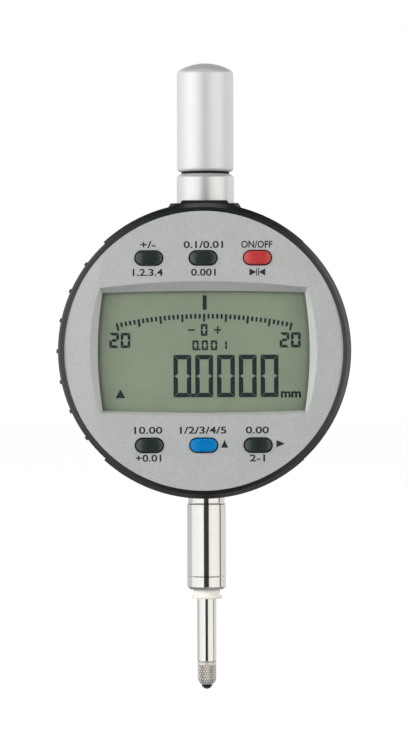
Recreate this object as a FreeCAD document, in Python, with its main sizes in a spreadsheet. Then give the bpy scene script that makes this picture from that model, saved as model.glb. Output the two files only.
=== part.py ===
import FreeCAD, Part
import math
import os
import re

import Sketcher
from FreeCAD import Placement, Rotation, Vector

# A digital indicator: a round turning display unit on a case, a stem with a sprung spindle below,
# and a cap over the upper end of the spindle. Millimetres, +Z up, the dial faces -Y.
# The origin is on the stem's axis, halfway along the length that a holder clamps.
# Every piece is drawn about the dial's centre, where the spindle's axis and the dial's axis cross,
# and its Placement lifts it to the dial's height.

# Driving dimensions
sizes = {
    # clearances
    "press_clearance": 0.02,
    "running_clearance": 0.03,
    "free_clearance": 0.3,
    "display_gap": 0.3,
    # stem, from the case downwards
    "shank_diameter": 7.0,
    "neck_diameter": 7.5,
    "neck_length": 3.1,
    "stem_diameter": 8.0,
    "stem_length": 14.8,
    "stem_bore": 5.2,
    "stem_edge": 0.2,
    "bush_length": 2.7,
    "bush_chamfer": 0.55,
    "bush_spigot_length": 4.0,
    "wiper_seat_depth": 1.1,
    "wiper_diameter": 5.5,
    "wiper_length": 1.4,
    "wiper_flange_diameter": 6.3,
    "wiper_flange_length": 0.4,
    "wiper_lip_length": 0.15,
    # spindle, contact point and travel
    "spindle_diameter": 4.0,
    "travel": 12.5,
    "travel_margin": 0.5,
    "spindle_top_reach": 5.5,
    "spindle_edge": 0.3,
    "contact_thread_diameter": 2.5,
    "contact_thread_length": 4.0,
    "contact_length": 4.65,
    "contact_taper_length": 1.3,
    "contact_taper_width": 0.7,
    "ball_diameter": 2.4,
    "ball_inset": 0.15,
    # case
    "case_step": 3.0,
    "case_front": 7.0,
    "case_back": 8.5,
    "case_wall": 1.8,
    "case_front_wall": 2.0,
    "case_edge": 0.8,
    "spigot_land": 1.2,
    "spigot_wall": 4.0,
    "boss_width": 15.2,
    "boss_top_width": 13.9,
    "boss_slope_height": 1.05,
    "boss_height": 3.25,
    "boss_edge": 1.5,
    "boss_lip_width": 9.0,
    "boss_lip_height": 0.6,
    "boss_lip_slope": 0.4,
    "lower_boss_width": 14.0,
    "lower_boss_height": 1.6,
    "screw_count": 4,
    "post_radius": 2.3,
    "post_gap": 0.3,
    "post_angle": 45.0,
    # grooves in the front of the case
    "stop_margin": 2.5,
    "stop_pin_diameter": 1.8,
    "stop_groove_depth": 1.2,
    "turn_range": 280.0,
    "friction_land": 0.9,
    "friction_groove_width": 1.2,
    "friction_groove_depth": 0.7,
    # back cover, its screws, cell and lid
    "cover_thickness": 2.0,
    "cover_spigot_length": 1.0,
    "cover_edge": 0.7,
    "cover_screw_diameter": 2.0,
    "cover_screw_head": 3.8,
    "cover_screw_length": 8.0,
    "cup_margin": 1.75,
    "cell_diameter": 20.0,
    "cell_thickness": 3.2,
    "cell_clearance": 0.25,
    "pocket_wall": 1.2,
    "pocket_floor": 0.8,
    "contact_leaf_thickness": 0.3,
    "contact_leaf_width": 4.0,
    "lid_ledge": 1.85,
    "lid_thickness": 1.8,
    "lid_slot_length": 12.0,
    "lid_slot_width": 2.0,
    "lid_slot_depth": 0.9,
    "lid_seal_section": 0.6,
    # collar, guide bush, seal and cap
    "collar_diameter": 11.8,
    "collar_height": 6.25,
    "collar_edge": 1.0,
    "collar_seat_depth": 5.6,
    "collar_neck_diameter": 9.4,
    "collar_neck_height": 4.5,
    "collar_wall": 1.5,
    "spring_chamber_diameter": 7.8,
    "spring_chamber_length": 3.0,
    "seal_height": 0.5,
    "seal_diameter": 9.9,
    "cap_diameter": 11.65,
    "cap_length": 22.35,
    "cap_top_thickness": 2.6,
    "cap_bore": 8.8,
    "cap_thread_depth": 5.2,
    "cap_foot_round": 0.6,
    "cap_round": 1.3,
    "cap_rise": 2.46,
    # carrier, scale and guide
    "carrier_width": 11.0,
    "carrier_bottom": -2.5,
    "carrier_height": 7.0,
    "carrier_front": 3.0,
    "carrier_back": 2.7,
    "carrier_slit": 0.6,
    "carrier_edge": 0.6,
    "clamp_screw_diameter": 1.6,
    "clamp_screw_head": 3.0,
    "clamp_screw_head_height": 1.0,
    "guide_pin_diameter": 1.8,
    "guide_pin_reach": 10.0,
    "rail_offset": 7.6,
    "rail_thickness": 1.8,
    "rail_margin": 2.9,
    "rail_foot": 3.4,
    "scale_width": 8.0,
    "scale_bottom": -17.0,
    "scale_margin": 0.2,
    "scale_thickness": 0.8,
    "spring_diameter": 6.8,
    "spring_wire": 0.5,
    "spring_pitch": 2.8,
    # sensor board
    "sensor_board_margin": 1.5,
    "sensor_board_height": 13.0,
    "sensor_board_thickness": 0.8,
    "sensor_screw_count": 2,
    "sensor_screw_diameter": 1.6,
    "sensor_screw_head": 2.8,
    "sensor_screw_length": 3.5,
    "sensor_chip_size": 7.0,
    # retaining ring
    "ring_clearance": 0.3,
    "retaining_thickness": 1.2,
    "retaining_lip": 2.0,
    "retaining_screw_diameter": 1.6,
    "retaining_screw_head": 2.8,
    "retaining_screw_length": 3.6,
    # display unit
    "bezel_radius": 30.0,
    "bezel_front": 16.7,
    "bezel_bevel_width": 0.9,
    "bezel_bevel_depth": 1.5,
    "bezel_rear_edge": 0.6,
    "bezel_wall": 2.4,
    "left_relief": 0.45,
    "right_relief": 0.1,
    "relief_angle": 95.0,
    "rib_count": 7,
    "rib_spread": 73.0,
    "rib_width": 0.8,
    "rib_height": 0.35,
    "back_thickness": 1.7,
    "back_seat": 0.95,
    "back_screw_diameter": 1.6,
    "back_screw_head": 2.9,
    "back_screw_length": 3.2,
    "back_post_radius": 1.8,
    "back_post_merge": 0.4,
    "back_post_angle": 30.0,
    "plate_front": 17.0,
    "plate_thickness": 1.6,
    "plate_rim": 1.7,
    "plate_clearance": 0.05,
    "crease_radius": 69.0,
    "crease_reach": 23.0,
    "crease_angle": 6.0,
    "slope_turn": 120.0,
    # window recess in the plate, outer outline at the front and inner outline at the back
    "recess_corner_x": 21.0,
    "recess_corner_top": 12.75,
    "recess_corner_bottom": 12.6,
    "recess_side_bow": 2.0,
    "recess_top_bow": 1.35,
    "recess_bottom_bow": 0.5,
    "window_corner_x": 20.5,
    "window_corner_top": 11.75,
    "window_corner_bottom": 12.1,
    "window_side_bow": 1.0,
    "window_top_bow": 0.4,
    "window_bottom_bow": 0.45,
    # panel and boards
    "pane_width": 44.8,
    "pane_height": 26.6,
    "pane_thickness": 0.8,
    "panel_thickness": 1.8,
    "frame_wall": 0.7,
    "frame_corner": 1.5,
    "connector_length": 40.0,
    "connector_width": 1.6,
    "connector_height": 0.8,
    "board_thickness": 0.8,
    "board_margin": 0.6,
    "chip_size": 8.0,
    "chip_height": 1.1,
    "small_chip_size": 3.0,
    "small_chip_offset": 9.0,
    # keys
    "key_columns": 3,
    "key_pitch": 11.0,
    "upper_row": 18.8,
    "lower_row": 19.1,
    "slot_width": 5.95,
    "slot_height": 3.2,
    "key_gap": 0.25,
    "key_proud": 0.6,
    "key_crown": 14.0,
    "key_edge": 0.35,
    "key_flange": 0.6,
    "key_flange_thickness": 0.6,
    "key_travel": 0.4,
    "mat_thickness": 1.2,
    "mat_height": 5.6,
    "mat_margin": 3.6,
    "dome_diameter": 2.6,
}

# Places and fits worked out from the driving dimensions
places = {
    "case_radius": "bezel_radius - case_step",
    "spindle_radius": "spindle_diameter / 2",
    "bush_bore": "spindle_radius + running_clearance",
    "shank_end": "-(case_radius + lower_boss_height)",
    "neck_end": "shank_end - neck_length",
    "stem_end": "neck_end - stem_length",
    "bush_end": "stem_end - bush_length",
    "wiper_flange_top": "bush_end - wiper_length",
    "wiper_flange_end": "wiper_flange_top - wiper_flange_length",
    "wiper_end": "wiper_flange_end - wiper_lip_length",
    "dial_height": "stem_length / 2 - neck_end",
    "contact_top": "wiper_end - travel - travel_margin",
    "contact_end": "contact_top - contact_length",
    "ball_height": "contact_end + ball_inset",
    "boss_top": "case_radius + boss_height",
    "collar_bottom": "boss_top - collar_seat_depth",
    "collar_top": "boss_top + collar_height",
    "neck_top": "collar_top + collar_neck_height",
    "cap_bottom": "collar_top + seal_height",
    "cap_top": "cap_bottom + cap_length",
    "spindle_top": "collar_top + spindle_top_reach",
    "guide_bush_radius": "collar_neck_diameter / 2 - collar_wall",
    "spring_top": "collar_bottom + spring_chamber_length",
    "carrier_top": "carrier_bottom + carrier_height",
    "carrier_middle": "carrier_bottom + carrier_height / 2",
    "cavity_front": "case_front - case_front_wall",
    "cavity_radius": "case_radius - case_wall",
    "post_circle": "cavity_radius - post_radius - post_gap",
    "stop_circle": "case_radius - stop_margin",
    "friction_groove_radius": "stop_circle - stop_pin_diameter / 2 - free_clearance - friction_land"
                              " - friction_groove_width",
    "spigot_radius": "friction_groove_radius - spigot_land",
    "spigot_bore": "spigot_radius - spigot_wall",
    "rail_half_height": "sqrt(cavity_radius^2 - (rail_offset + rail_thickness)^2) - rail_margin",
    "cover_inside": "case_back - cover_spigot_length",
    "cover_back": "case_back + cover_thickness",
    "lid_seat": "cover_back - lid_thickness",
    "pocket_radius": "cell_diameter / 2 + cell_clearance",
    "cell_offset": "cavity_radius - pocket_radius - pocket_wall - cup_margin",
    "lid_radius": "pocket_radius + lid_ledge",
    "cell_back": "lid_seat - cell_clearance - lid_seal_section",
    "cell_front": "cell_back - cell_thickness",
    "pocket_bottom": "cell_front - contact_leaf_thickness",
    "back_rear": "case_front + display_gap",
    "back_front": "back_rear + back_thickness",
    "back_hole": "spigot_radius + free_clearance",
    "spigot_end": "back_front + ring_clearance",
    "retaining_front": "spigot_end + retaining_thickness",
    "retaining_radius": "back_hole + retaining_lip",
    "screw_circle": "(spigot_radius + spigot_bore) / 2",
    "bezel_inside": "bezel_radius - bezel_wall",
    "back_radius": "bezel_inside + back_seat",
    "back_post_circle": "bezel_inside - back_post_radius + back_post_merge",
    "plate_radius": "bezel_radius - plate_rim",
    "plate_rear": "plate_front - plate_thickness",
    "crease_centre": "crease_radius - crease_reach",
    "pane_rear": "plate_rear - pane_thickness",
    "panel_rear": "pane_rear - panel_thickness",
    "board_front": "panel_rear - connector_height",
    "board_rear": "board_front - board_thickness",
    "board_radius": "bezel_inside - board_margin",
    "key_front": "plate_front + key_proud",
    "key_rear": "plate_rear - key_flange_thickness - plate_clearance",
    "dome_top": "key_rear - key_travel - plate_clearance",
    "mat_front": "board_front + mat_thickness",
}

functions = ("sin", "cos", "tan", "sqrt")
doc = FreeCAD.newDocument("digital_indicator")
size_sheet = doc.addObject("Spreadsheet::Sheet", "size")
place_sheet = doc.addObject("Spreadsheet::Sheet", "place")
pieces = []
hair = 0.001  # two places closer than this are the same place


# Puts the sheet's name before each word of a formula
def bound(formula):
    def with_sheet(found):
        word = found.group(0)
        if word in functions:
            return word
        return ("place." if word in places else "size.") + word
    return re.sub(r"[a-z][a-z_]+", with_sheet, str(formula))


def fill_sheets():
    for row, (name, value) in enumerate(sizes.items(), start=1):
        size_sheet.set(f"A{row}", str(value))
        size_sheet.setAlias(f"A{row}", name)
    for row, name in enumerate(places, start=1):
        place_sheet.setAlias(f"A{row}", name)
    doc.recompute()
    for row, formula in enumerate(places.values(), start=1):
        place_sheet.set(f"A{row}", "=" + bound(formula).replace("place.", ""))
    doc.recompute()


def number(formula):
    return float(size_sheet.evalExpression(bound(formula)))


# Bodies, sketches and features
def new_body(label):
    body = doc.addObject("PartDesign::Body", label)
    body.Label = label
    body.setExpression("Placement.Base.z", bound("dial_height"))
    pieces.append(body)
    return body


def origin_part(body, role):
    return next(part for part in body.Origin.OriginFeatures if part.Role == role)


# A sketch on one of the body's own planes: raised along the plane's normal, turned by an angle
def new_sketch(body, name, role, raised="0", turn_axis=None, turn="0"):
    sketch = body.newObject("Sketcher::SketchObject", name)
    sketch.AttachmentSupport = [(origin_part(body, role), "")]
    sketch.MapMode = "FlatFace"
    if turn_axis:
        sketch.AttachmentOffset = Placement(Vector(), Rotation(turn_axis, number(turn)))
        sketch.setExpression("AttachmentOffset.Rotation.Angle", bound(turn))
    sketch.setExpression("AttachmentOffset.Base.z", bound(raised))
    return sketch


def set_size(sketch, constraint, formula):
    index = sketch.addConstraint(constraint)
    sketch.setExpression(f"Constraints[{index}]", bound(formula))


def fix_point(sketch, edge, end, x, y):
    set_size(sketch, Sketcher.Constraint("DistanceX", -1, 1, edge, end, number(x)), x)
    set_size(sketch, Sketcher.Constraint("DistanceY", -1, 1, edge, end, number(y)), y)


# A closed outline through corners; bends gives the radius of an edge that is an arc,
# positive where the arc turns left on its way and negative where it turns right
def outline(sketch, corners, bends=None):
    bends = bends or {}
    points = [Vector(number(x), number(y), 0) for x, y in corners]
    ends = []
    for index, start in enumerate(points):
        finish = points[(index + 1) % len(points)]
        if index in bends:
            radius = number(bends[index])
            chord = finish - start
            left = Vector(-chord.y, chord.x, 0).normalize()
            inward = (radius ** 2 - (chord.Length / 2) ** 2) ** 0.5
            centre = (start + finish) * 0.5 + left * (inward if radius > 0 else -inward)
            first, last = (start, finish) if radius > 0 else (finish, start)
            circle = Part.Circle(centre, Vector(0, 0, 1), abs(radius))
            arc = Part.ArcOfCircle(circle, circle.parameter(first), circle.parameter(last))
            edge = sketch.addGeometry(arc)
            ends.append((edge, 1, 2) if radius > 0 else (edge, 2, 1))
        else:
            edge = sketch.addGeometry(Part.LineSegment(start, finish))
            ends.append((edge, 1, 2))
    for index, (edge, start_end, finish_end) in enumerate(ends):
        following, following_end = ends[(index + 1) % len(ends)][:2]
        sketch.addConstraint(Sketcher.Constraint("Coincident", edge, finish_end, following, following_end))
        fix_point(sketch, edge, start_end, *corners[index])
        if index in bends:
            formula = bends[index] if number(bends[index]) > 0 else f"-({bends[index]})"
            set_size(sketch, Sketcher.Constraint("Radius", edge, number(formula)), formula)
    return ends


def rectangle(sketch, left, bottom, right, top):
    outline(sketch, [(left, bottom), (right, bottom), (right, top), (left, top)])


def circle(sketch, x, y, radius):
    edge = sketch.addGeometry(Part.Circle(Vector(number(x), number(y), 0), Vector(0, 0, 1), number(radius)))
    fix_point(sketch, edge, 3, x, y)
    set_size(sketch, Sketcher.Constraint("Radius", edge, number(radius)), radius)


# A slot shape with round ends, lying along the sketch's horizontal
def pill(sketch, x, y, width, height):
    reach = number(width) / 2 - number(height) / 2
    radius = number(height) / 2
    centre = Vector(number(x), number(y), 0)
    right_circle = Part.Circle(centre + Vector(reach, 0, 0), Vector(0, 0, 1), radius)
    left_circle = Part.Circle(centre - Vector(reach, 0, 0), Vector(0, 0, 1), radius)
    quarter = math.pi / 2
    right = sketch.addGeometry(Part.ArcOfCircle(right_circle, -quarter, quarter))
    left = sketch.addGeometry(Part.ArcOfCircle(left_circle, quarter, 3 * quarter))
    up = Vector(0, radius, 0)
    along = Vector(reach, 0, 0)
    top = sketch.addGeometry(Part.LineSegment(centre + along + up, centre - along + up))
    bottom = sketch.addGeometry(Part.LineSegment(centre - along - up, centre + along - up))
    sketch.addConstraint(Sketcher.Constraint("Tangent", right, 2, top, 1))
    sketch.addConstraint(Sketcher.Constraint("Tangent", top, 2, left, 1))
    sketch.addConstraint(Sketcher.Constraint("Tangent", left, 2, bottom, 1))
    sketch.addConstraint(Sketcher.Constraint("Tangent", bottom, 2, right, 1))
    shift = f"(({width}) - ({height})) / 2"
    fix_point(sketch, right, 3, f"({x}) + {shift}", y)
    fix_point(sketch, left, 3, f"({x}) - {shift}", y)
    set_size(sketch, Sketcher.Constraint("Radius", right, radius), f"({height}) / 2")


# An outline of four bowed sides between four corners, symmetrical left and right
def bowed_window(sketch, corner_x, top, bottom, side_bow, top_bow, bottom_bow):
    def arc_radius(half_chord, bow):
        return f"(({half_chord})^2 + ({bow})^2) / (2 * {bow})"
    left_x = f"-({corner_x})"
    low = f"-({bottom})"
    corners = [(corner_x, low), (corner_x, top), (left_x, top), (left_x, low)]
    side = arc_radius(f"(({top}) + ({bottom})) / 2", side_bow)
    bends = {0: side, 1: arc_radius(corner_x, top_bow), 2: side, 3: arc_radius(corner_x, bottom_bow)}
    outline(sketch, corners, bends)


def feature(body, kind, name, sketch, **settings):
    made = body.newObject(f"PartDesign::{kind}", name)
    made.Profile = sketch
    for setting, value in settings.items():
        setattr(made, setting, value)
    return made


def turned(body, name, sketch, kind="Revolution", axis="V_Axis", angle="360", midplane=False):
    made = feature(body, kind, name, sketch, ReferenceAxis=(sketch, [axis]), Midplane=midplane)
    made.setExpression("Angle", bound(angle))
    return made


def raised(body, name, sketch, length, reverse=False, both_sides=False):
    made = feature(body, "Pad", name, sketch, Reversed=reverse, Midplane=both_sides)
    made.setExpression("Length", bound(length))
    return made


def cut(body, name, sketch, length, reverse=False, both_sides=False):
    made = feature(body, "Pocket", name, sketch, Reversed=reverse, Midplane=both_sides)
    made.setExpression("Length", bound(length))
    return made


def around(body, name, originals, axis_role, count, angle="360"):
    made = body.newObject("PartDesign::PolarPattern", name)
    made.Originals = originals
    made.Axis = (origin_part(body, axis_role), [""])
    made.setExpression("Angle", bound(angle))
    made.setExpression("Occurrences", bound(count))
    body.Tip = made
    return made


def along_row(body, name, originals, axis_role, count, length):
    made = body.newObject("PartDesign::LinearPattern", name)
    made.Originals = originals
    made.Direction = (origin_part(body, axis_role), [""])
    made.setExpression("Length", bound(length))
    made.setExpression("Occurrences", bound(count))
    body.Tip = made
    return made


# Bevels or rounds the edges that a test picks out
def dress_edges(body, kind, name, size, wanted):
    doc.recompute()
    base = body.Tip
    names = [f"Edge{index}" for index, edge in enumerate(base.Shape.Edges, start=1) if wanted(edge)]
    if not names:
        raise ValueError(f"{body.Label}: no edge for {name}")
    made = body.newObject(f"PartDesign::{kind}", name)
    made.Base = (base, names)
    made.setExpression("Size" if kind == "Chamfer" else "Radius", bound(size))
    return made


def near(one, other):
    return abs(one - other) < hair


def is_round(edge, radius, y=None, z=None):
    if not isinstance(edge.Curve, Part.Circle) or not near(edge.Curve.Radius, radius):
        return False
    centre = edge.Curve.Center
    return (y is None or near(centre.y, y)) and (z is None or near(centre.z, z))


def turned_about_stem(label, corners, bends=None):
    body = new_body(label)
    sketch = new_sketch(body, label + "_profile", "XZ_Plane")
    outline(sketch, corners, bends)
    turned(body, label + "_turned", sketch)
    return body


def turned_about_dial(label, corners, bends=None):
    body = new_body(label)
    sketch = new_sketch(body, label + "_profile", "XY_Plane")
    outline(sketch, corners, bends)
    turned(body, label + "_turned", sketch)
    return body


# Countersunk screws set in a ring about the dial's axis, heads to the back or to the front;
# head is the depth of the head's flat face, and facing is 1 where it looks back, -1 where forward
def ring_of_screws(label, circle_radius, count, start, head, facing, head_diameter, shank_diameter, length):
    body = new_body(label)
    sketch = new_sketch(body, label + "_profile", "XY_Plane", "0", Vector(0, 1, 0), f"-({start})")
    sink = f"(({head_diameter}) - ({shank_diameter})) / 2"
    towards = f"({facing})"
    corners = [
        (circle_radius, head),
        (circle_radius, f"({head}) - {towards} * ({length})"),
        (f"({circle_radius}) + ({shank_diameter}) / 2", f"({head}) - {towards} * ({length})"),
        (f"({circle_radius}) + ({shank_diameter}) / 2", f"({head}) - {towards} * {sink}"),
        (f"({circle_radius}) + ({head_diameter}) / 2", head),
    ]
    outline(sketch, corners)
    screw = turned(body, label + "_turned", sketch, axis="Edge1")
    around(body, label + "_ring", [screw], "Y_Axis", count)
    return body


# Case

def make_rear_housing():
    body = new_body("rear_housing")
    # upper boss for the collar, its shoulders sloping in to the top
    boss = new_sketch(body, "upper_boss_outline", "XZ_Plane", "-case_back")
    shoulder = "boss_top - boss_slope_height"
    outline(boss, [
        ("-boss_width / 2", "cavity_radius"),
        ("boss_width / 2", "cavity_radius"),
        ("boss_width / 2", shoulder),
        ("boss_top_width / 2", "boss_top"),
        ("-boss_top_width / 2", "boss_top"),
        ("-boss_width / 2", shoulder),
    ])
    raised(body, "upper_boss", boss, "case_front + case_back")
    # lower boss for the stem's shank
    lower = new_sketch(body, "lower_boss_outline", "XZ_Plane", "-case_back")
    rectangle(lower, "-lower_boss_width / 2", "shank_end", "lower_boss_width / 2", "-cavity_radius")
    raised(body, "lower_boss", lower, "case_front + case_back")
    # the bosses are rounded down their four upright corners
    def boss_corner(edge):
        box = edge.BoundBox
        upright = box.ZLength > hair and near(box.XLength, 0) and near(box.YLength, 0)
        reach = abs(box.XMin)
        at_side = near(reach, number("boss_width / 2")) or near(reach, number("lower_boss_width / 2"))
        at_end = near(box.YMin, -number("case_front")) or near(box.YMin, number("case_back"))
        return upright and at_side and at_end
    dress_edges(body, "Fillet", "boss_corners", "boss_edge", boss_corner)
    # a drum open at the back, with a spigot in front that the display unit turns on
    drum = new_sketch(body, "drum_profile", "XY_Plane")
    outline(drum, [
        ("spigot_bore", "-spigot_end"),
        ("spigot_radius", "-spigot_end"),
        ("spigot_radius", "-case_front"),
        ("case_radius - case_edge", "-case_front"),
        ("case_radius", "-(case_front - case_edge)"),
        ("case_radius", "case_back"),
        ("cavity_radius", "case_back"),
        ("cavity_radius", "-cavity_front"),
        ("spigot_bore", "-cavity_front"),
    ])
    turned(body, "drum", drum)
    # a narrow lip in front of the collar
    lip = new_sketch(body, "boss_lip_outline", "XZ_Plane", "collar_diameter / 2 + press_clearance")
    outline(lip, [
        ("-(boss_lip_width / 2 + boss_lip_slope)", "boss_top - boss_slope_height"),
        ("boss_lip_width / 2 + boss_lip_slope", "boss_top - boss_slope_height"),
        ("boss_lip_width / 2 + boss_lip_slope", "boss_top + boss_lip_height - boss_lip_slope"),
        ("boss_lip_width / 2", "boss_top + boss_lip_height"),
        ("-boss_lip_width / 2", "boss_top + boss_lip_height"),
        ("-(boss_lip_width / 2 + boss_lip_slope)", "boss_top + boss_lip_height - boss_lip_slope"),
    ])
    raised(body, "boss_lip", lip, "case_front - collar_diameter / 2 - press_clearance")
    # screw posts for the back cover
    post = new_sketch(body, "post_outline", "XZ_Plane", "-cover_inside")
    circle(post, "post_circle * cos(post_angle)", "post_circle * sin(post_angle)", "post_radius")
    post_pad = raised(body, "post", post, "cover_inside + cavity_front")
    around(body, "posts", [post_pad], "Y_Axis", "screw_count")
    hole = new_sketch(body, "post_hole_outline", "XZ_Plane", "-cover_inside")
    circle(hole, "post_circle * cos(post_angle)", "post_circle * sin(post_angle)",
           "cover_screw_diameter / 2 + press_clearance")
    hole_cut = cut(body, "post_hole", hole, "cover_screw_length + cover_edge", reverse=True)
    around(body, "post_holes", [hole_cut], "Y_Axis", "screw_count")
    # bores for the collar and for the stem
    upper_bore = new_sketch(body, "collar_bore_outline", "XY_Plane", "collar_bottom - case_wall")
    circle(upper_bore, "0", "0", "collar_diameter / 2 + press_clearance")
    cut(body, "collar_bore", upper_bore, "boss_height + collar_seat_depth + collar_height", reverse=True)
    lower_bore = new_sketch(body, "stem_bore_outline", "XY_Plane", "shank_end")
    circle(lower_bore, "0", "0", "shank_diameter / 2 + press_clearance")
    cut(body, "stem_bore", lower_bore, "2 * case_wall + lower_boss_height", reverse=True)
    # groove for the friction ring, and the groove whose ends stop the display unit
    friction = new_sketch(body, "friction_groove_profile", "XY_Plane")
    rectangle(friction, "friction_groove_radius", "-case_front",
              "friction_groove_radius + friction_groove_width", "-(case_front - friction_groove_depth)")
    turned(body, "friction_groove", friction, kind="Groove")
    stop = new_sketch(body, "stop_groove_profile", "YZ_Plane")
    half_width = "(stop_pin_diameter / 2 + free_clearance)"
    rectangle(stop, "-case_front", f"-(stop_circle + {half_width})", "-(case_front - stop_groove_depth)",
              f"-(stop_circle - {half_width})")
    pin_angle = f"2 * (stop_pin_diameter / 2 + free_clearance) / stop_circle * {math.degrees(1):.4f}"
    turned(body, "stop_groove", stop, kind="Groove", axis="H_Axis", angle=f"turn_range + {pin_angle}",
           midplane=True)
    # threaded holes for the retaining ring's and the sensor board's screws
    threaded = new_sketch(body, "retaining_hole_outline", "XZ_Plane", "spigot_end")
    circle(threaded, "screw_circle * cos(post_angle)", "screw_circle * sin(post_angle)",
           "retaining_screw_diameter / 2 + press_clearance")
    threaded_cut = cut(body, "retaining_hole", threaded, "retaining_screw_length")
    around(body, "retaining_holes", [threaded_cut], "Y_Axis", "screw_count")
    sensor = new_sketch(body, "sensor_hole_outline", "XZ_Plane", "cavity_front")
    for side in ("-", ""):
        circle(sensor, side + "screw_circle", "0", "sensor_screw_diameter / 2 + press_clearance")
    cut(body, "sensor_holes", sensor, "sensor_screw_length", reverse=True)


def make_back_cover():
    body = new_body("back_cover")
    disc = new_sketch(body, "cover_profile", "XY_Plane")
    spigot = "cavity_radius - press_clearance"
    outline(disc, [
        ("0", "cover_inside"),
        (spigot, "cover_inside"),
        (spigot, "case_back"),
        ("case_radius", "case_back"),
        ("case_radius", "cover_back - cover_edge"),
        ("case_radius - cover_edge", "cover_back"),
        ("0", "cover_back"),
    ])
    turned(body, "cover_disc", disc)
    # the cell's cup, sunk into the case
    cup = new_sketch(body, "cup_outline", "XZ_Plane", "-(pocket_bottom - pocket_floor)")
    circle(cup, "cell_offset", "0", "pocket_radius + pocket_wall")
    raised(body, "cup", cup, "cover_inside - pocket_bottom + pocket_floor", reverse=True)
    pocket = new_sketch(body, "pocket_outline", "XZ_Plane", "-pocket_bottom")
    circle(pocket, "cell_offset", "0", "pocket_radius")
    cut(body, "pocket", pocket, "cover_back - pocket_bottom")
    recess = new_sketch(body, "lid_recess_outline", "XZ_Plane", "-lid_seat")
    circle(recess, "cell_offset", "0", "lid_radius + free_clearance")
    cut(body, "lid_recess", recess, "lid_thickness")
    seal = new_sketch(body, "seal_groove_outline", "XZ_Plane", "-(lid_seat - lid_seal_section)")
    circle(seal, "cell_offset", "0", "pocket_radius + lid_seal_section")
    cut(body, "seal_groove", seal, "lid_seal_section")
    # countersunk holes for the four screws
    hole = new_sketch(body, "cover_hole_outline", "XZ_Plane", "-cover_back")
    hole_radius = "cover_screw_diameter / 2 + press_clearance"
    circle(hole, "post_circle * cos(post_angle)", "post_circle * sin(post_angle)", hole_radius)
    hole_cut = cut(body, "cover_hole", hole, "cover_back - cover_inside", reverse=True)
    around(body, "cover_holes", [hole_cut], "Y_Axis", "screw_count")
    def hole_mouth(edge):
        return is_round(edge, number(hole_radius), y=number("cover_back"))
    dress_edges(body, "Chamfer", "countersinks",
                "(cover_screw_head - cover_screw_diameter) / 2", hole_mouth)


def make_cover_screws():
    ring_of_screws("back_cover_screws", "post_circle", "screw_count", "post_angle", "cover_back", "1",
                   "cover_screw_head", "cover_screw_diameter", "cover_screw_length")


def make_battery():
    cell = new_body("battery_cell")
    disc = new_sketch(cell, "cell_outline", "XZ_Plane", "-cell_back")
    circle(disc, "cell_offset", "0", "cell_diameter / 2")
    raised(cell, "cell_disc", disc, "cell_thickness")
    dress_edges(cell, "Chamfer", "cell_rim", "cell_clearance",
                lambda edge: is_round(edge, number("cell_diameter / 2")))
    leaf = new_body("battery_contact")
    strip = new_sketch(leaf, "leaf_outline", "XZ_Plane", "-cell_front")
    rectangle(strip, "cell_offset - cell_diameter / 3", "-contact_leaf_width / 2",
              "cell_offset + cell_diameter / 3", "contact_leaf_width / 2")
    raised(leaf, "leaf", strip, "contact_leaf_thickness")
    seal = new_body("lid_seal")
    ring = new_sketch(seal, "lid_seal_outline", "XZ_Plane", "-(lid_seat - lid_seal_section)")
    circle(ring, "cell_offset", "0", "pocket_radius + lid_seal_section - press_clearance")
    circle(ring, "cell_offset", "0", "pocket_radius")
    raised(seal, "lid_seal_ring", ring, "lid_seal_section", reverse=True)


def make_battery_lid():
    body = new_body("battery_lid")
    disc = new_sketch(body, "lid_outline", "XZ_Plane", "-lid_seat")
    circle(disc, "cell_offset", "0", "lid_radius")
    raised(body, "lid_disc", disc, "lid_thickness", reverse=True)
    slot = new_sketch(body, "coin_slot_outline", "XZ_Plane", "-cover_back")
    pill(slot, "cell_offset", "0", "lid_slot_length", "lid_slot_width")
    cut(body, "coin_slot", slot, "lid_slot_depth", reverse=True)
    dress_edges(body, "Chamfer", "lid_edge", "free_clearance",
                lambda edge: is_round(edge, number("lid_radius"), y=number("cover_back")))


def make_stem():
    body = turned_about_stem("stem", [
        ("stem_bore / 2", "-cavity_radius"),
        ("shank_diameter / 2", "-cavity_radius"),
        ("shank_diameter / 2", "shank_end"),
        ("neck_diameter / 2", "shank_end"),
        ("neck_diameter / 2", "neck_end + stem_edge"),
        ("stem_diameter / 2 - stem_edge", "neck_end + stem_edge"),
        ("stem_diameter / 2", "neck_end"),
        ("stem_diameter / 2", "stem_end"),
        ("stem_bore / 2", "stem_end"),
    ])
    return body


def make_stem_end_bush():
    seat = "stem_bore / 2 - press_clearance"
    turned_about_stem("stem_end_bush", [
        ("bush_bore", "stem_end + bush_spigot_length"),
        (seat, "stem_end + bush_spigot_length"),
        (seat, "stem_end"),
        ("stem_diameter / 2", "stem_end"),
        ("stem_diameter / 2", "bush_end + bush_chamfer"),
        ("stem_diameter / 2 - bush_chamfer", "bush_end"),
        (seat, "bush_end"),
        (seat, "bush_end + wiper_seat_depth"),
        ("bush_bore", "bush_end + wiper_seat_depth"),
    ])


def make_wiper_bush():
    seat = "stem_bore / 2 - 2 * press_clearance"
    flange = "wiper_flange_diameter / 2"
    turned_about_stem("wiper_bush", [
        ("bush_bore", "bush_end + wiper_seat_depth"),
        (seat, "bush_end + wiper_seat_depth"),
        (seat, "bush_end"),
        ("wiper_diameter / 2", "bush_end"),
        ("wiper_diameter / 2", "wiper_flange_top"),
        (flange, "wiper_flange_top"),
        (flange, "wiper_flange_end"),
        (f"{flange} - wiper_lip_length", "wiper_end"),
        ("bush_bore", "wiper_end"),
    ])


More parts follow.
